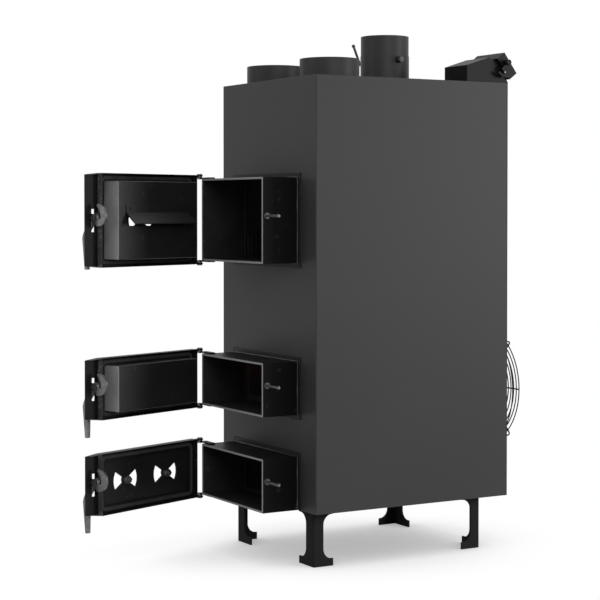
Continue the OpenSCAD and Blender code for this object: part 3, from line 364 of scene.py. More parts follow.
def heat_paint(name, colour, bare, roughness, specular, worn=()):
    """Thin black heat paint over rolled sheet: fine grain, rubbed patches and soot, with masks that blend in bare
    steel as thin paint and as painted highlight, sheen and light.
    """
    paint = Recipe(name, colour, roughness, specular=specular)
    grain = paint.noise(900.0, 2.0, 0.6)
    cloud = paint.noise(9.0, 4.0, 0.6)
    rub = paint.noise(38.0, 5.0, 0.65).smooth(0.60, 0.78)
    tone = paint.blend(cloud, shade_of(colour, 0.75), shade_of(colour, 1.35))
    tone = paint.blend(rub * 0.08, tone, bare)
    rough = roughness - 0.06 + cloud * 0.14 + rub * 0.06
    # The masks blend in the bare steel colour: thin paint at the port mouths, grey mottling on the door rims, and
    # painted highlight, painted sheen and painted light.
    for mask in worn:
        tone = paint.blend(mask(paint), tone, bare)
    paint.colour(tone)
    paint.roughness(rough)
    paint.relief(grain * 0.6 + cloud * 0.8, 0.00008)
    return paint


def mouth_edge_highlight(paint):
    """The cut end faces of the ports, where paint is thin and bare steel shows, made light also as a painted
    highlight of the light from the front.
    """
    end_face = 0.0008
    wear = paint.noise(160.0, 3.0, 0.6)
    return ((paint.axis(1) < MOUTH_Y + end_face) * (0.70 + wear * 0.8)).clamped()


def painted_light_inside(paint):
    """The insides of the ports, blended towards bare steel in noisy patches as painted light that stands in for
    light reaching into them.
    """
    across, up = paint.axis(0), paint.axis(2)
    wall = PORT_WALL - 0.0001
    inside = (across > PORT_LEFT + wall) * (across < PORT_RIGHT - wall)
    rows = [(up > low + wall) * (up < low + tall - wall) for low, tall in PORTS.values()]
    return inside * (rows[0] + rows[1] + rows[2]) * (0.02 + paint.noise(24.0, 4.0, 0.6) * 0.06)


def rim_grey_mottle(paint):
    """Light grey mottled patches on the outside of a door's end rim."""
    own = door_frame(paint)
    along, inwards = paint.axis(0, own), paint.axis(1, own)
    rim_face, flange = 0.0006, 0.006
    spots = paint.noise(130.0, 4.0, 0.62).smooth(0.50, 0.64)
    blotch = paint.noise(34.0, 3.0, 0.6).smooth(0.40, 0.70)
    band = (along > DOOR_U1 - rim_face) * (inwards > DOOR_SHEET_N + flange)
    return band * (0.16 + spots * 0.5 * blotch + blotch * 0.10)


def painted_sheen_end(paint):
    """The free end of a heat box, painted lighter grey in patches: a painted sheen of the light from the front,
    not wear.
    """
    end_face = 0.0010
    blotch = paint.noise(9.0, 1.5, 0.5).smooth(0.36, 0.60)
    fine = paint.noise(220.0, 3.0, 0.6)
    end = paint.axis(0, door_frame(paint)) > HEAT_BOX_U1 - end_face
    return end * (0.20 + blotch * 0.60 + fine * 0.14)


def plated(name, colour, roughness):
    """Zinc plated or bare machined steel with fine turning marks."""
    steel = Recipe(name, colour, roughness, metallic=1.0)
    fine = steel.noise(1400.0, 2.0, 0.7, steel.turned((0.0, 0.0, 0.0), scale=(1.0, 6.0, 1.0)))
    stain = steel.noise(70.0, 4.0, 0.6)
    steel.colour(steel.blend(stain, shade_of(colour, 0.70), shade_of(colour, 1.20)))
    steel.roughness(roughness - 0.08 + fine * 0.14 + stain * 0.10)
    steel.relief(fine, 0.00003)
    return steel


def cut_steel(name, colour):
    """Laser cut plate: mill scale, fine scratches and hand wear."""
    steel = Recipe(name, colour, 0.40, metallic=0.65)
    scale = steel.noise(45.0, 5.0, 0.65)
    scratch = steel.noise(30.0, 3.0, 0.6, steel.turned((0.4, 0.2, 0.9), scale=(1.0, 24.0, 1.0)))
    worn = scale.smooth(0.45, 0.72)
    steel.colour(steel.blend(worn, shade_of(colour, 0.80), shade_of(colour, 1.35)))
    steel.roughness(0.34 + scale * 0.18)
    steel.relief(scratch + scale * 0.5, 0.00006)
    return steel


def sooty_iron(name, colour):
    """Furnace plate and cast bars with soot, scale and a hint of rust."""
    iron = Recipe(name, colour, 0.72, specular=0.35)
    scale = iron.noise(60.0, 6.0, 0.68)
    soot = iron.noise(7.0, 3.0, 0.55).smooth(0.35, 0.70)
    rust = iron.noise(22.0, 5.0, 0.7).smooth(0.60, 0.80)
    rust_colour, soot_colour = (0.075, 0.030, 0.015), (0.010, 0.0095, 0.009)
    tone = iron.blend(scale, shade_of(colour, 0.6), shade_of(colour, 1.7))
    tone = iron.blend(rust * 0.45, tone, rust_colour)
    iron.colour(iron.blend(soot * 0.5, tone, soot_colour))
    iron.roughness(0.60 + scale * 0.30)
    iron.relief(scale, 0.0006)
    return iron


def fired_clay(name, colour):
    """Firebrick: sandy, pitted, each brick its own tone, with a painted blue shade low down and black at the top.
    """
    brick = Recipe(name, colour, 0.9, specular=0.25)
    brick_size = (0.40, 0.062, 0.6)
    blue_shade_below, black_above = (0.425, 0.475), (0.56, 0.70)
    rib_pitch = 0.014
    cell = brick.node("ShaderNodeVectorMath", {"operation": "SNAP"},
                      {0: brick.place, 1: brick_size})
    own = brick.node("ShaderNodeTexWhiteNoise", {"noise_dimensions": "3D"}, {"Vector": cell})
    grit = brick.noise(420.0, 4.0, 0.7)
    pits = brick.noise(120.0, 3.0, 0.6).smooth(0.60, 0.72)
    smoke = brick.noise(9.0, 4.0, 0.6).smooth(0.38, 0.66)
    height = brick.axis(2)
    tone = brick.blend(own, shade_of(colour, 0.70), shade_of(colour, 1.35))
    # The lowest bricks are painted in a blue shade colour.
    tone = brick.blend(height.smooth(*blue_shade_below), (0.055, 0.050, 0.080), tone)
    tone = brick.blend(grit * 0.5, tone, shade_of(colour, 0.55))
    tone = brick.blend(pits * 0.6, tone, shade_of(colour, 0.30))
    soot = height.smooth(*black_above)
    across = brick.axis(0) + brick.axis(1)
    ribs = (across * (2.0 * math.pi / rib_pitch)).sine().smooth(0.2, 1.0)
    black = brick.blend(ribs * 0.6, (0.008, 0.007, 0.006), (0.085, 0.078, 0.070))
    tone = brick.blend(smoke * 0.55, tone, (0.016, 0.013, 0.012))
    brick.colour(brick.blend(soot, tone, black))
    brick.relief(grit * 0.4 + (1.0 - pits) + ribs * soot, 0.0012)
    return brick


def braided_rope(name, colour, swing, strand_depth):
    """Glass rope: two families of strands that cross, with soot in the grooves."""
    strand_pitch = 0.0042
    rope = Recipe(name, colour, 0.85, specular=0.3)
    lie = rope.turned((0.0, 0.0, swing))
    along = rope.axis(0, lie)
    up = rope.axis(2, lie)
    waves = 2.0 * math.pi / strand_pitch
    left = ((along + up) * waves).sine()
    right = ((along - up) * waves).sine()
    weave = left * right * 0.5 + 0.5
    fluff = rope.noise(1300.0, 2.0, 0.7)
    char = rope.noise(26.0, 4.0, 0.6).smooth(0.35, 0.7)
    tone = rope.blend(weave, shade_of(colour, 0.35), shade_of(colour, 1.9))
    tone = rope.blend(fluff * 0.4, tone, shade_of(colour, 1.3))
    rope.colour(rope.blend(char * 0.6, tone, (0.012, 0.011, 0.010)))
    rope.relief(weave + fluff * 0.3, strand_depth)
    return rope


def ceramic_board(name):
    """Pressed fibre board behind the hatch's rope."""
    board = Recipe(name, (0.42, 0.40, 0.36), 0.95, specular=0.2)
    fibre = board.noise(500.0, 4.0, 0.7)
    char = board.noise(24.0, 4.0, 0.6).smooth(0.4, 0.7)
    board.colour(board.blend(char * 0.7, (0.40, 0.38, 0.34), (0.10, 0.09, 0.08)))
    board.relief(fibre, 0.0005)
    return board


# The materials by their short names, which the first operator mixes
FINISHES = {}


def finish(nodes, key):
    """Gives CAD nodes a finish through their material slots."""
    for name in nodes:
        mesh = NODES[name].data
        mesh.materials.clear()
        mesh.materials.append(FINISHES[key].material)


def led_by_flats(mesh, limit):
    """Corner normals led by the larger faces, so that only bevels and bends look round."""
    normals = [face.normal.copy() for face in mesh.polygons]
    areas = [face.area for face in mesh.polygons]
    around = [[] for vertex in mesh.vertices]
    for face in mesh.polygons:
        for vertex in face.vertices:
            around[vertex].append(face.index)
    reach = math.cos(math.radians(limit))
    corners = []
    for face in mesh.polygons:
        own = normals[face.index]
        for vertex in face.vertices:
            near = [normals[k] * areas[k] for k in around[vertex] if own.dot(normals[k]) > reach]
            total = sum(near, Vector())
            corners.append(total.normalized() if total.length > 0.0 else own)
    mesh.normals_split_custom_set(corners)


def new_piece(name, bm, key, body, replaces=(), smooth=SMOOTH):
    """Turns a bmesh in the stove's frame into a piece that rides on a body."""
    mesh = bpy.data.meshes.new(name)
    bm.to_mesh(mesh)
    bm.free()
    mesh.materials.append(FINISHES[key].material)
    piece = bpy.data.objects.new(name, mesh)
    bpy.context.scene.collection.objects.link(piece)
    for face in mesh.polygons:
        face.use_smooth = True
    led_by_flats(mesh, smooth)
    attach(piece, body)
    if replaces:
        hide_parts(*replaces)
    return piece


def closed_up(bm):
    """Merges doubles and points every face outwards."""
    bmesh.ops.remove_doubles(bm, verts=bm.verts, dist=0.00001)
    bmesh.ops.recalc_face_normals(bm, faces=bm.faces)
    return bm


def copy_of_node(name):
    """A merged bmesh of a CAD node with its flat faces joined again."""
    bm = bmesh.new()
    bm.from_mesh(NODES[name].data)
    bmesh.ops.remove_doubles(bm, verts=bm.verts, dist=0.00001)
    bmesh.ops.dissolve_limit(bm, angle_limit=math.radians(0.5), use_dissolve_boundaries=False,
                             verts=bm.verts, edges=bm.edges)
    return bm


def sharp_edges(bm, limit):
    """The edges whose two faces turn by more than a limit, in degrees."""
    return [e for e in bm.edges if e.is_manifold and e.calc_face_angle(0.0) > math.radians(limit)]


def round_edges(bm, edges, width, segments):
    """Bevels edges with a round profile."""
    bmesh.ops.bevel(bm, geom=edges, offset=width, offset_type="OFFSET", segments=segments,
                    profile=0.5, affect="EDGES", clamp_overlap=True, material=-1)


def rounded_copy(name, width):
    """A copy of a CAD node whose sharp edges are rounded."""
    bm = copy_of_node(name)
    round_edges(bm, sharp_edges(bm, SHARP), width, 2)
    return bm


def softened(name, width, key):
    """Replaces a CAD node by its own copy with softly rounded edges."""
    bm = rounded_copy(name, width)
    return new_piece(name + "_soft", bm, key, BODY_OF[name], (name,))


def place(bm, verts, matrix):
    """Moves and turns some vertices."""
    bmesh.ops.transform(bm, matrix=matrix, verts=verts)


def edges_of(verts):
    """The edges at some vertices, each once and always in the same order."""
    return list(dict.fromkeys(e for v in verts for e in v.link_edges))


def tube(bm, start, direction, radius, steps, sides=12):
    """Sweeps a round section: steps are ("go", length), or ("turn", axis, centre, angle, count)."""
    along = Vector(direction).normalized()
    ring = bmesh.ops.create_circle(bm, segments=sides, radius=radius, cap_ends=False)["verts"]
    place(bm, ring, Matrix.Translation(start) @ along.to_track_quat("Z", "Y").to_matrix().to_4x4())
    edges = first = edges_of(ring)
    for step in steps:
        if step[0] == "go":
            made = bmesh.ops.extrude_edge_only(bm, edges=edges)["geom"]
            verts = [g for g in made if isinstance(g, bmesh.types.BMVert)]
            bmesh.ops.translate(bm, vec=along * step[1], verts=verts)
            ends = set(verts)
            edges = [g for g in made if isinstance(g, bmesh.types.BMEdge)
                     and all(v in ends for v in g.verts)]
        else:
            axis, centre, angle, count = step[1:]
            made = bmesh.ops.spin(bm, geom=edges, cent=centre, axis=axis, angle=angle, steps=count,
                                  use_duplicate=False)["geom_last"]
            edges = [g for g in made if isinstance(g, bmesh.types.BMEdge)]
            along = Matrix.Rotation(angle, 3, axis) @ along
    return first, edges


def cap(bm, edges):
    """Closes the end of a tube."""
    bmesh.ops.edgenet_fill(bm, edges=edges)


def boss(bm, sides, low_radius, high_radius, depth, centre):
    """Adds a low round or six sided boss."""
    verts = bmesh.ops.create_cone(bm, cap_ends=True, segments=sides, radius1=low_radius,
                                  radius2=high_radius, depth=depth)["verts"]
    place(bm, verts, Matrix.Translation(centre))


def add_to(bm, part):
    """Adds a finished bmesh to another one."""
    mesh = bpy.data.meshes.new("part")
    part.to_mesh(mesh)
    part.free()
    bm.from_mesh(mesh)
    bpy.data.meshes.remove(mesh)


def door_space(port):
    """The matrix from a door's own frame, at its hinge, to the stove's frame."""
    hinge = Vector(JOINTS[port + "_door_hinge"]["pos_m"])
    hinge.z = PORTS[port][0]
    return Matrix.Translation(hinge) @ Matrix.Rotation(-math.radians(DOOR_SWING), 4, "Z")


def hatch_space():
    """The matrix from the slanted hatch opening's frame to the stove's frame."""
    return Matrix.Translation(HATCH_PLACE) @ Matrix.Rotation(math.radians(HATCH_LEAN), 4, "X")


def fan_space():
    """The matrix from the fan's frame, its Z out of the back, to the stove's frame."""
    return Matrix.Translation((0.0, BACK_Y, FAN_Z)) @ Matrix.Rotation(-math.pi / 2, 4, "X")


class STOVE_OT_finishes(Operator):
    """Mixes the finishes and gives them to the frame's own parts"""
    bl_idname = "stove.finishes"
    bl_label = "Mix Finishes"

    def execute(self, context):
        paint = context.scene.stove_paint
        bare = tuple(paint.bare)
        swing = math.radians(DOOR_SWING)
        strand = context.scene.stove_sizes.rope_strand
        coat = paint.coat_roughness
        heat = paint.heat_roughness
        FINISHES["casing"] = powder_coat("casing_powder_coat", tuple(paint.casing), coat)
        FINISHES["collars"] = powder_coat("collar_paint", tuple(paint.top), coat, 0.10)
        FINISHES["legs"] = powder_coat("leg_paint", tuple(paint.legs), coat + 0.04, 0.02)
        # The ports get a painted highlight on their mouths' end faces and painted light inside.
        FINISHES["ports"] = heat_paint("port_heat_paint", tuple(paint.ports), bare, heat, 0.04,
                                       (mouth_edge_highlight, painted_light_inside))
        FINISHES["trims"] = heat_paint("trim_paint", tuple(paint.trims), bare, heat, 0.08)
        FINISHES["doors"] = heat_paint("door_heat_paint", tuple(paint.doors), bare, heat, 0.10,
                                       (rim_grey_mottle,))
        # The heat boxes' free ends get a painted sheen in bare steel colour.
        FINISHES["boxes"] = heat_paint("heat_box_paint", tuple(paint.doors), bare, heat - 0.06,
                                       0.35, (painted_sheen_end,))
        FINISHES["top"] = powder_coat("flue_paint", tuple(paint.top), coat, 0.12)
        FINISHES["hatch"] = powder_coat("hatch_paint", tuple(paint.hatch), coat, 0.10)
        FINISHES["zinc"] = plated("dull_zinc", tuple(paint.zinc), 0.38)
        FINISHES["dark"] = cut_steel("dark_steel", tuple(paint.dark))
        FINISHES["lever"] = cut_steel("lever_steel", tuple(paint.lever))
        FINISHES["iron"] = sooty_iron("sooty_iron", tuple(paint.iron))
        FINISHES["brick"] = fired_clay("fired_clay", tuple(paint.brick))
        FINISHES["rope"] = braided_rope("door_rope", tuple(paint.rope), swing, strand)
        FINISHES["hatch_rope"] = braided_rope("hatch_rope", tuple(paint.rope), 0.0, strand)
        FINISHES["board"] = ceramic_board("hatch_board")
        FINISHES["fan"] = powder_coat("fan_black", (0.010, 0.010, 0.011), 0.38, 0.2)
        FINISHES["wire"] = powder_coat("guard_wire_coat", (0.006, 0.006, 0.007), 0.40, 0.16)
        FINISHES["bead"] = cut_steel("weld_bead", (0.035, 0.035, 0.035))
        groups = {
            "casing": ["front_panel", "left_panel", "right_panel", "back_panel", "top_panel",
                       "bottom_panel"],
            "collars": ["outlet_collars"],
            "legs": ["leg_front_left", "leg_front_right", "leg_back_left", "leg_back_right"],
            "ports": ["upper_port", "middle_port", "lower_port", "hinge_lugs"],
            "trims": ["port_trims"],
            "doors": ["upper_door", "middle_door", "lower_door", "upper_regulator",
                      "left_regulator", "right_regulator"],
            "boxes": ["upper_heat_box", "middle_heat_box", "upper_deflector"],
            "top": ["flue"],
            "hatch": ["hatch_neck", "hatch_door", "hatch_latch"],
            "iron": ["furnace_body", "smoke_box", "smoke_baffle", "brick_ledges", "grate",
                     "air_fins", "damper_plate"],
            "brick": ["firebrick_lining"],
            "rope": ["upper_gasket", "middle_gasket", "lower_gasket"],
            "hatch_rope": ["hatch_gasket"],
            "board": ["hatch_pad"],
            "dark": ["damper_spindle", "damper_bushes"],
            "zinc": ["latch_pegs", "peg_nuts", "hinge_pins", "hatch_pin", "fan_screws",
                     "upper_bolts", "middle_bolts", "lower_bolts"],
            "lever": ["upper_latch", "middle_latch", "lower_latch"],
            "fan": ["fan_ring", "fan_motor", "fan_impeller"],
            "wire": ["fan_guard", "guard_hoops"],
        }
        for key, names in groups.items():
            finish(names, key)
        return {"FINISHED"}


class STOVE_OT_casing(Operator):
    """Softens the folded edges of the casing's panels and the outlets' rims"""
    bl_idname = "stove.casing"
    bl_label = "Casing Panels"

    def execute(self, context):
        for name in ("front_panel", "left_panel", "right_panel", "back_panel", "top_panel"):
            softened(name, context.scene.stove_sizes.fold, "casing")
        softened("outlet_collars", FITTING_EDGE, "collars")
        return {"FINISHED"}


class STOVE_OT_legs(Operator):
    """Bends the legs: a wide round at the outer corner, small ones elsewhere"""
    bl_idname = "stove.legs"
    bl_label = "Legs"

    def execute(self, context):
        sizes = context.scene.stove_sizes
        near = 0.0002
        for side in ("left", "right"):
            for end in ("front", "back"):
                name = "leg_" + end + "_" + side
                low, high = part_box(name)
                corner = Vector((low.x if side == "left" else high.x,
                                 low.y if end == "front" else high.y))
                bm = copy_of_node(name)
                bend = [e for e in bm.edges
                        if all((v.co.xy - corner).length < near for v in e.verts)]
                round_edges(bm, bend, sizes.bend, 5)
                round_edges(bm, sharp_edges(bm, LEG_SHARP), sizes.edge * 0.6, 2)
                new_piece(name + "_soft", bm, "legs", "stove", (name,))
        return {"FINISHED"}


class STOVE_OT_ports(Operator):
    """Softens the edges of the ports and their trim frames"""
    bl_idname = "stove.ports"
    bl_label = "Ports"

    def execute(self, context):
        for name in ("upper_port", "middle_port", "lower_port"):
            softened(name, FITTING_EDGE, "ports")
        softened("port_trims", TRIM_EDGE, "trims")
        return {"FINISHED"}


class STOVE_OT_doors(Operator):
    """Softens the doors' trays and regulators, and bends the heat boxes"""
    bl_idname = "stove.doors"
    bl_label = "Doors"

    def execute(self, context):
        for name in ("upper_door", "middle_door", "lower_door", "upper_regulator", "left_regulator",
                     "right_regulator"):
            softened(name, SHEET_EDGE, "doors")
        softened("upper_deflector", SHEET_EDGE, "boxes")
        for port in ("upper", "middle"):
            name = port + "_heat_box"
            bm = copy_of_node(name)
            round_edges(bm, self.folds(bm, port), context.scene.stove_sizes.box_bend, 4)
            new_piece(name + "_soft", bm, "boxes", BODY_OF[name], (name,))
        return {"FINISHED"}

    def folds(self, bm, port):
        """The folded edges of a heat box: round its inner face, and at its corners."""
        own = door_space(port).inverted()
        tall = PORTS[port][1]
        near, least_depth, least_angle = 0.0001, 0.03, 1.0
        found = []
        for edge in bm.edges:
            ends = [own @ v.co for v in edge.verts]
            middle = (ends[0] + ends[1]) / 2.0
            on_face = middle.y > HEAT_BOX_N - near
            inwards = abs(ends[1].y - ends[0].y) > least_depth
            outer = (middle.x < HEAT_BOX_U0 + near or middle.x > HEAT_BOX_U1 - near
                     or middle.z < HEAT_BOX_INSET or middle.z > tall - HEAT_BOX_INSET)
            bent = edge.is_manifold and edge.calc_face_angle(0.0) > least_angle
            if bent and outer and (on_face or inwards):
                found.append(edge)
        return found


class STOVE_OT_pipes(Operator):
    """Softens the flue, its damper's fittings and the cleaning hatch"""
    bl_idname = "stove.pipes"
    bl_label = "Flue and Hatch"

    def execute(self, context):
        softened("flue", PIPE_EDGE, "top")
        for name in ("hatch_neck", "hatch_door", "hatch_latch"):
            softened(name, PIPE_EDGE, "hatch")
        softened("damper_spindle", SHEET_EDGE, "dark")
        softened("damper_bushes", SHEET_EDGE, "dark")
        softened("hatch_pin", SHEET_EDGE, "zinc")
        return {"FINISHED"}


class STOVE_OT_hardware(Operator):
    """Softens the pegs, nuts, pins and bolts"""
    bl_idname = "stove.hardware"
    bl_label = "Hardware"

    def execute(self, context):
        for name in ("latch_pegs", "peg_nuts", "hinge_pins", "upper_bolts", "middle_bolts",
                     "lower_bolts", "fan_screws"):
            softened(name, FITTING_EDGE, "zinc")
        softened("hinge_lugs", SHEET_EDGE, "ports")
        return {"FINISHED"}


class STOVE_OT_ropes(Operator):
    """Winds the sealing ropes of the three doors and the hatch"""
    bl_idname = "stove.ropes"
    bl_label = "Door Ropes"

    def wind(self, low, high, depth, radius, corner):
        """A rope round a rectangle with rounded corners, in the plane at a depth."""
        bm = bmesh.new()
        wide = high[0] - low[0] - 2.0 * corner
        tall = high[1] - low[1] - 2.0 * corner
        steps = []
        corners = [(high[0] - corner, low[1] + corner), (high[0] - corner, high[1] - corner),
                   (low[0] + corner, high[1] - corner), (low[0] + corner, low[1] + corner)]
        for index, (x, z) in enumerate(corners):
            run = wide if index % 2 == 0 else tall
            pieces = max(1, round(run / ROPE_STEP))
            steps += [("go", run / pieces)] * pieces
            steps.append(("turn", Vector((0, -1, 0)), Vector((x, depth, z)), math.pi / 2, 6))
        tube(bm, (low[0] + corner, depth, low[1]), (1, 0, 0), radius, steps, sides=16)
        return closed_up(bm)

    def execute(self, context):
        gap = ROPE_GAP - DOOR_LAP
        for port in PORTS:
            tall = PORTS[port][1]
            bm = self.wind((DOOR_U0 + ROPE_GAP, gap), (DOOR_U1 - ROPE_GAP, tall - gap),
                           DOOR_SHEET_N + ROPE_R, ROPE_R, ROPE_CORNER)
            place(bm, bm.verts, door_space(port))
            new_piece(port + "_door_rope", bm, "rope", port + "_door",
                      (port + "_gasket",), smooth=ROUND_SMOOTH)
        low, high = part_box("hatch_pad")
        bm = self.wind((low.x + HATCH_ROPE_R, HATCH_ROPE_Z[0]),
                       (high.x - HATCH_ROPE_R, HATCH_ROPE_Z[1]),
                       HATCH_ROPE_DEPTH, HATCH_ROPE_R, HATCH_ROPE_CORNER)
        place(bm, bm.verts, hatch_space())
        new_piece("hatch_rope", bm, "hatch_rope", "hatch_door",
                  ("hatch_gasket",), smooth=ROUND_SMOOTH)
        return {"FINISHED"}


class STOVE_OT_guard(Operator):
    """Bends and welds the wires of the fan's guard"""
    bl_idname = "stove.guard"
    bl_label = "Fan Guard"

    def ring(self, bm, radius, height, wire):
        """Adds a ring of wire round the fan's middle."""
        verts = bmesh.ops.create_circle(bm, segments=8, radius=wire, cap_ends=False)["verts"]
        upright = Matrix.Rotation(math.pi / 2, 4, "X")
        place(bm, verts, Matrix.Translation((radius, 0, height)) @ upright)
        bmesh.ops.spin(bm, geom=edges_of(verts), cent=(0, 0, 0), axis=(0, 0, 1),
                       angle=2 * math.pi, steps=72, use_merge=True)

    def arm(self, radius, height, bent):
        """An arm along X: straight to the outer ring, or bent down to a foot with its nut."""
        made = bmesh.new()
        steps = [("go", GUARD_ARM_END - GUARD_ARM_START)]
        if bent:
            knee = GUARD_FOOT_R - GUARD_ARM_BEND
            centre = Vector((knee, 0, height - GUARD_ARM_BEND))
            steps = [("go", knee - GUARD_ARM_START),
                     ("turn", Vector((0, 1, 0)), centre, math.pi / 2, 6),
                     ("go", height - GUARD_ARM_BEND - GUARD_FOOT_TOP)]
        for end in tube(made, (GUARD_ARM_START, 0, height), (1, 0, 0), radius, steps):
            cap(made, end)
        if bent:
            boss(made, 24, 0.0090, 0.0086, 0.003, (GUARD_FOOT_R, 0, 0.0045))
            boss(made, 6, 0.0060, 0.0054, 0.004, (GUARD_FOOT_R, 0, 0.0080))
        return made

    def execute(self, context):
        sizes = context.scene.stove_sizes
        bm = bmesh.new()
        top = GUARD_DEPTH - sizes.wire
        for step in range(GUARD_RINGS):
            self.ring(bm, GUARD_RING_R - GUARD_RING_STEP * step, top, sizes.wire)
        for height in GUARD_HOOP_HEIGHTS:
            self.ring(bm, GUARD_HOOP_R, height, sizes.wire)
        under = top - sizes.wire - sizes.arm * 0.6
        for count in range(8):
            made = self.arm(sizes.arm, under, count % 2 == 1)
            place(made, made.verts, Matrix.Rotation(count * math.pi / 4, 4, "Z"))
            bmesh.ops.recalc_face_normals(made, faces=made.faces)
            add_to(bm, made)
        boss(bm, 64, 0.048, 0.046, 0.0036, (0, 0, 0.1034))
        place(bm, bm.verts, fan_space())
        closed_up(bm)
        new_piece("guard_wires", bm, "wire", "stove", ("fan_guard", "guard_hoops"))
        return {"FINISHED"}


class STOVE_OT_blades(Operator):
    """Shapes the fan's hub and its twisted blades"""
    bl_idname = "stove.blades"
    bl_label = "Fan Blades"

    def blade(self):
        """A blade along X: narrow and steep at the hub, wider, flatter and swept at its end."""
        made = bmesh.new()
        grid = bmesh.ops.create_grid(made, x_segments=10, y_segments=10, size=0.5)["verts"]
        for vert in grid:
            out = vert.co.x + 0.5
            side = vert.co.y
            radius = BLADE_ROOT_R + BLADE_LENGTH * out
            round_end = 1.0 - 0.10 * max(0.0, out - 0.8) / 0.2
            chord = side * (BLADE_ROOT_WIDTH + BLADE_WIDENING * out) * round_end
            camber = BLADE_CAMBER * (1.0 - 4.0 * side * side)
            pitch = math.radians(40.0 - 16.0 * out)
            sweep = 0.10 * out * out
            y = chord * math.cos(pitch) - camber * math.sin(pitch)
            z = chord * math.sin(pitch) + camber * math.cos(pitch)
            angle = sweep + y / radius
            vert.co = (radius * math.cos(angle), radius * math.sin(angle), BLADE_MIDDLE + z)
        bmesh.ops.solidify(made, geom=made.faces[:], thickness=BLADE_THICKNESS)
        bmesh.ops.recalc_face_normals(made, faces=made.faces)
        return made

    def execute(self, context):
        blades = context.scene.stove_sizes.blades
        bm = bmesh.new()
        verts = [bm.verts.new((r, 0, z)) for r, z in HUB_OUTLINE]
        edges = [bm.edges.new(pair) for pair in zip(verts, verts[1:] + verts[:1])]
        bmesh.ops.spin(bm, geom=edges, cent=(0, 0, 0), axis=(0, 0, 1), angle=2 * math.pi, steps=64,
                       use_merge=True)
        for count in range(blades):
            made = self.blade()
            place(made, made.verts, Matrix.Rotation(count * 2 * math.pi / blades, 4, "Z"))
            add_to(bm, made)
        closed_up(bm)
        place(bm, bm.verts, fan_space())
        new_piece("fan_rotor", bm, "fan", "fan", ("fan_impeller",), smooth=BLADE_SMOOTH)
        return {"FINISHED"}


class STOVE_OT_welds(Operator):
    """Lays the weld beads between the ports and the front sheet"""
    bl_idname = "stove.welds"
    bl_label = "Welds"

    def execute(self, context):
        bead = context.scene.stove_sizes.bead
        step, ripple_pitch, ripple_depth = 0.004, 0.0042, 0.00025
        y = FRONT_Y - 0.003
        wide = PORT_RIGHT - PORT_LEFT
        for port, (bottom, tall) in PORTS.items():
            bm = bmesh.new()
            top = bottom + tall
            low = max(bottom, LEG_TOP)
            runs = [((PORT_LEFT, y, low), (0, 0, 1), top - low),
                    ((PORT_RIGHT, y, low), (0, 0, 1), top - low),
                    ((PORT_LEFT, y, top), (1, 0, 0), wide)]
            if bottom > LEG_TOP:
                runs.append(((PORT_LEFT, y, low), (1, 0, 0), wide))
            for start, way, run in runs:
                count = max(2, round(run / step))
                for end in tube(bm, start, way, bead, [("go", run / count)] * count, sides=8):
                    cap(bm, end)
            bmesh.ops.recalc_face_normals(bm, faces=bm.faces)
            for vert in bm.verts:
                ripple = math.sin((vert.co.x + vert.co.z) / ripple_pitch * 2 * math.pi)
                vert.co.y -= ripple_depth * ripple
            new_piece(port + "_port_bead", bm, "bead", "stove", smooth=ROUND_SMOOTH)
        return {"FINISHED"}


class STOVE_OT_spots(Operator):
    """Presses the spot weld marks of the lower door and the upper door's hood"""
    bl_idname = "stove.spots"
    bl_label = "Spot Welds"

    def dots(self, port, places, name):
        """Marks that face into the stove, at places in a door's own frame."""
        radius = bpy.context.scene.stove_sizes.spot
        inwards = Vector((0, 1, 0)).to_track_quat("Z", "Y").to_matrix().to_4x4()
        bm = bmesh.new()
        for spot in places:
            verts = bmesh.ops.create_cone(bm, cap_ends=True, segments=16, radius1=radius,
                                          radius2=radius * 0.6, depth=0.0010)["verts"]
            place(bm, verts, Matrix.Translation(spot) @ inwards)
        place(bm, bm.verts, door_space(port))
        new_piece(name, bm, "doors", port + "_door")

    def execute(self, context):
        first, pitch, count, from_edge = 0.027, 0.050, 7, 0.013
        inner_face = DOOR_SHEET_N + 0.0005
        heights = (from_edge, PORTS["lower"][1] - from_edge)
        self.dots("lower", [(DOOR_U0 + first + k * pitch, inner_face, height)
                            for height in heights for k in range(count)], "lower_door_spots")
        hood_face, hood_height = HEAT_BOX_N + 0.0034, 0.1395
        self.dots("upper", [(DOOR_U0 + along, hood_face, hood_height)
                            for along in (0.092, 0.155, 0.218, 0.290)], "upper_hood_spots")
        return {"FINISHED"}


class STOVE_OT_levers(Operator):
    """Rounds the cut edges of the latch levers"""
    bl_idname = "stove.levers"
    bl_label = "Latch Levers"

    def execute(self, context):
        width = context.scene.stove_sizes.edge
        for port in PORTS:
            bm = rounded_copy(port + "_latch", width)
            new_piece(port + "_lever", bm, "lever", port + "_latch",
                      (port + "_latch",))
        return {"FINISHED"}


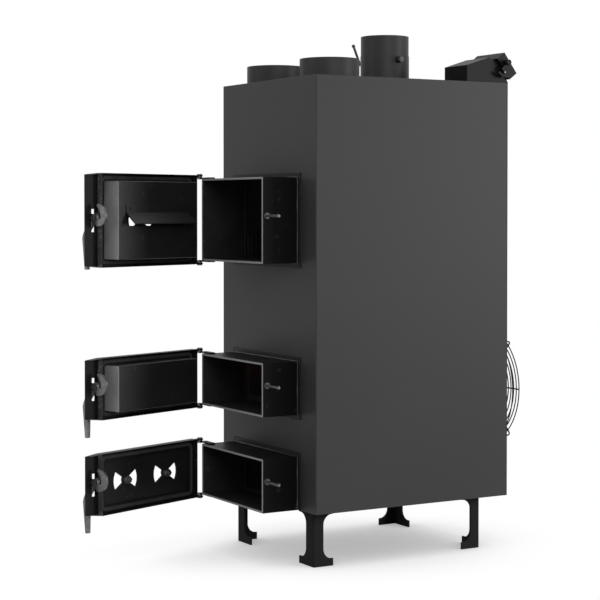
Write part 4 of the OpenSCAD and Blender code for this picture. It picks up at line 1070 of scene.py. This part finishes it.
class STOVE_OT_stage(Operator):
    """Sets up the floor, the soft lights and the camera"""
    bl_idname = "stove.stage"
    bl_label = "Studio"

    def softbox(self, name, place_at, look_at, wide, high, power):
        """An area light at a place that looks at another."""
        data = bpy.data.lights.new(name, "AREA")
        data.shape = "RECTANGLE"
        data.size = wide
        data.size_y = high
        data.energy = power
        lamp = bpy.data.objects.new(name, data)
        bpy.context.scene.collection.objects.link(lamp)
        away = Vector(place_at) - Vector(look_at)
        turn = away.to_track_quat("Z", "Y").to_matrix().to_4x4()
        lamp.matrix_world = Matrix.Translation(place_at) @ turn

    def floor(self, scene, reach):
        """A floor that is seen white, with a soft shadow where the stove hides the sky."""
        half = 30.0
        bm = bmesh.new()
        bmesh.ops.create_grid(bm, x_segments=1, y_segments=1, size=half)
        mesh = bpy.data.meshes.new("floor")
        bm.to_mesh(mesh)
        bm.free()
        floor = bpy.data.objects.new("floor", mesh)
        scene.collection.objects.link(floor)
        paper = Recipe("floor_paper", (0.40, 0.40, 0.40), 1.0, specular=0.0)
        open_sky = paper.node("ShaderNodeAmbientOcclusion", {"samples": 12}, {"Distance": reach},
                              "AO")
        white = paper.blend(open_sky.smooth(0.05, 0.84), (0.42, 0.42, 0.42), (1.0, 1.0, 1.0))
        light = paper.node("ShaderNodeEmission", {}, {"Color": white, "Strength": 1.0})
        plain = Wire(paper, paper.shader.outputs[0])
        mixed = paper.node("ShaderNodeMixShader", {}, {0: paper.seen(), 1: plain, 2: light})
        out = next(n for n in paper.tree.nodes if n.type == "OUTPUT_MATERIAL")
        paper.feed(out.inputs[0], mixed)
        mesh.materials.append(paper.material)

    def room(self, scene, strength):
        """A white room: full strength where it is seen, and less as light on the stove."""
        world = bpy.data.worlds.new("studio_room")
        world.use_nodes = True
        room = Nodes(world.node_tree)
        sky = next(n for n in room.tree.nodes if n.type == "BACKGROUND")
        sky.inputs["Color"].default_value = (1.0, 1.0, 1.0, 1.0)
        room.feed(sky.inputs["Strength"], room.seen() * (1.0 - strength) + strength)
        scene.world = world

    def execute(self, context):
        scene = context.scene
        stage = scene.stove_stage
        self.floor(scene, stage.shadow)
        self.room(scene, stage.sky)
        powers = (stage.key, stage.side, stage.fill)
        for (name, values), power in zip(SOFTBOXES.items(), powers):
            self.softbox(name, *values, power)

        data = bpy.data.cameras.new("photo_camera")
        data.sensor_width = 36.0
        data.lens = stage.lens
        data.shift_y = stage.shift
        camera = bpy.data.objects.new("photo_camera", data)
        scene.collection.objects.link(camera)
        camera.location = stage.place
        camera.rotation_euler = (math.pi / 2 - stage.pitch, 0.0, stage.turn)
        scene.camera = camera
        scene.view_settings.view_transform = "Standard"
        return {"FINISHED"}


class STOVE_PT_panel(Panel):
    """Shows the stove's settings and its operators in the sidebar"""
    bl_label = "Stove"
    bl_space_type = "VIEW_3D"
    bl_region_type = "UI"
    bl_category = "Stove"

    def draw(self, context):
        scene = context.scene
        for group in (scene.stove_paint, scene.stove_sizes, scene.stove_stage):
            box = self.layout.box()
            for name in group.bl_rna.properties.keys():
                if name not in ("rna_type", "name"):
                    box.prop(group, name)
        for operator in OPERATORS:
            self.layout.operator(operator.bl_idname)


OPERATORS = (STOVE_OT_finishes, STOVE_OT_casing, STOVE_OT_legs, STOVE_OT_ports, STOVE_OT_doors,
             STOVE_OT_pipes, STOVE_OT_hardware, STOVE_OT_ropes, STOVE_OT_guard, STOVE_OT_blades,
             STOVE_OT_welds, STOVE_OT_spots, STOVE_OT_levers, STOVE_OT_stage)
GROUPS = {"stove_paint": StovePaint, "stove_sizes": StoveSizes, "stove_stage": StoveStage}


def register():
    for group in GROUPS.values():
        bpy.utils.register_class(group)
    for operator in OPERATORS:
        bpy.utils.register_class(operator)
    bpy.utils.register_class(STOVE_PT_panel)
    for name, group in GROUPS.items():
        setattr(bpy.types.Scene, name, PointerProperty(type=group))


def unregister():
    for name in GROUPS:
        delattr(bpy.types.Scene, name)
    bpy.utils.unregister_class(STOVE_PT_panel)
    for operator in reversed(OPERATORS):
        bpy.utils.unregister_class(operator)
    for group in reversed(list(GROUPS.values())):
        bpy.utils.unregister_class(group)


def main():
    register()
    bpy.ops.stove.finishes()
    bpy.ops.stove.casing()
    bpy.ops.stove.legs()
    bpy.ops.stove.ports()
    bpy.ops.stove.doors()
    bpy.ops.stove.pipes()
    bpy.ops.stove.hardware()
    bpy.ops.stove.ropes()
    bpy.ops.stove.guard()
    bpy.ops.stove.blades()
    bpy.ops.stove.welds()
    bpy.ops.stove.spots()
    bpy.ops.stove.levers()
    bpy.ops.stove.stage()


if __name__ == "__main__":
    main()
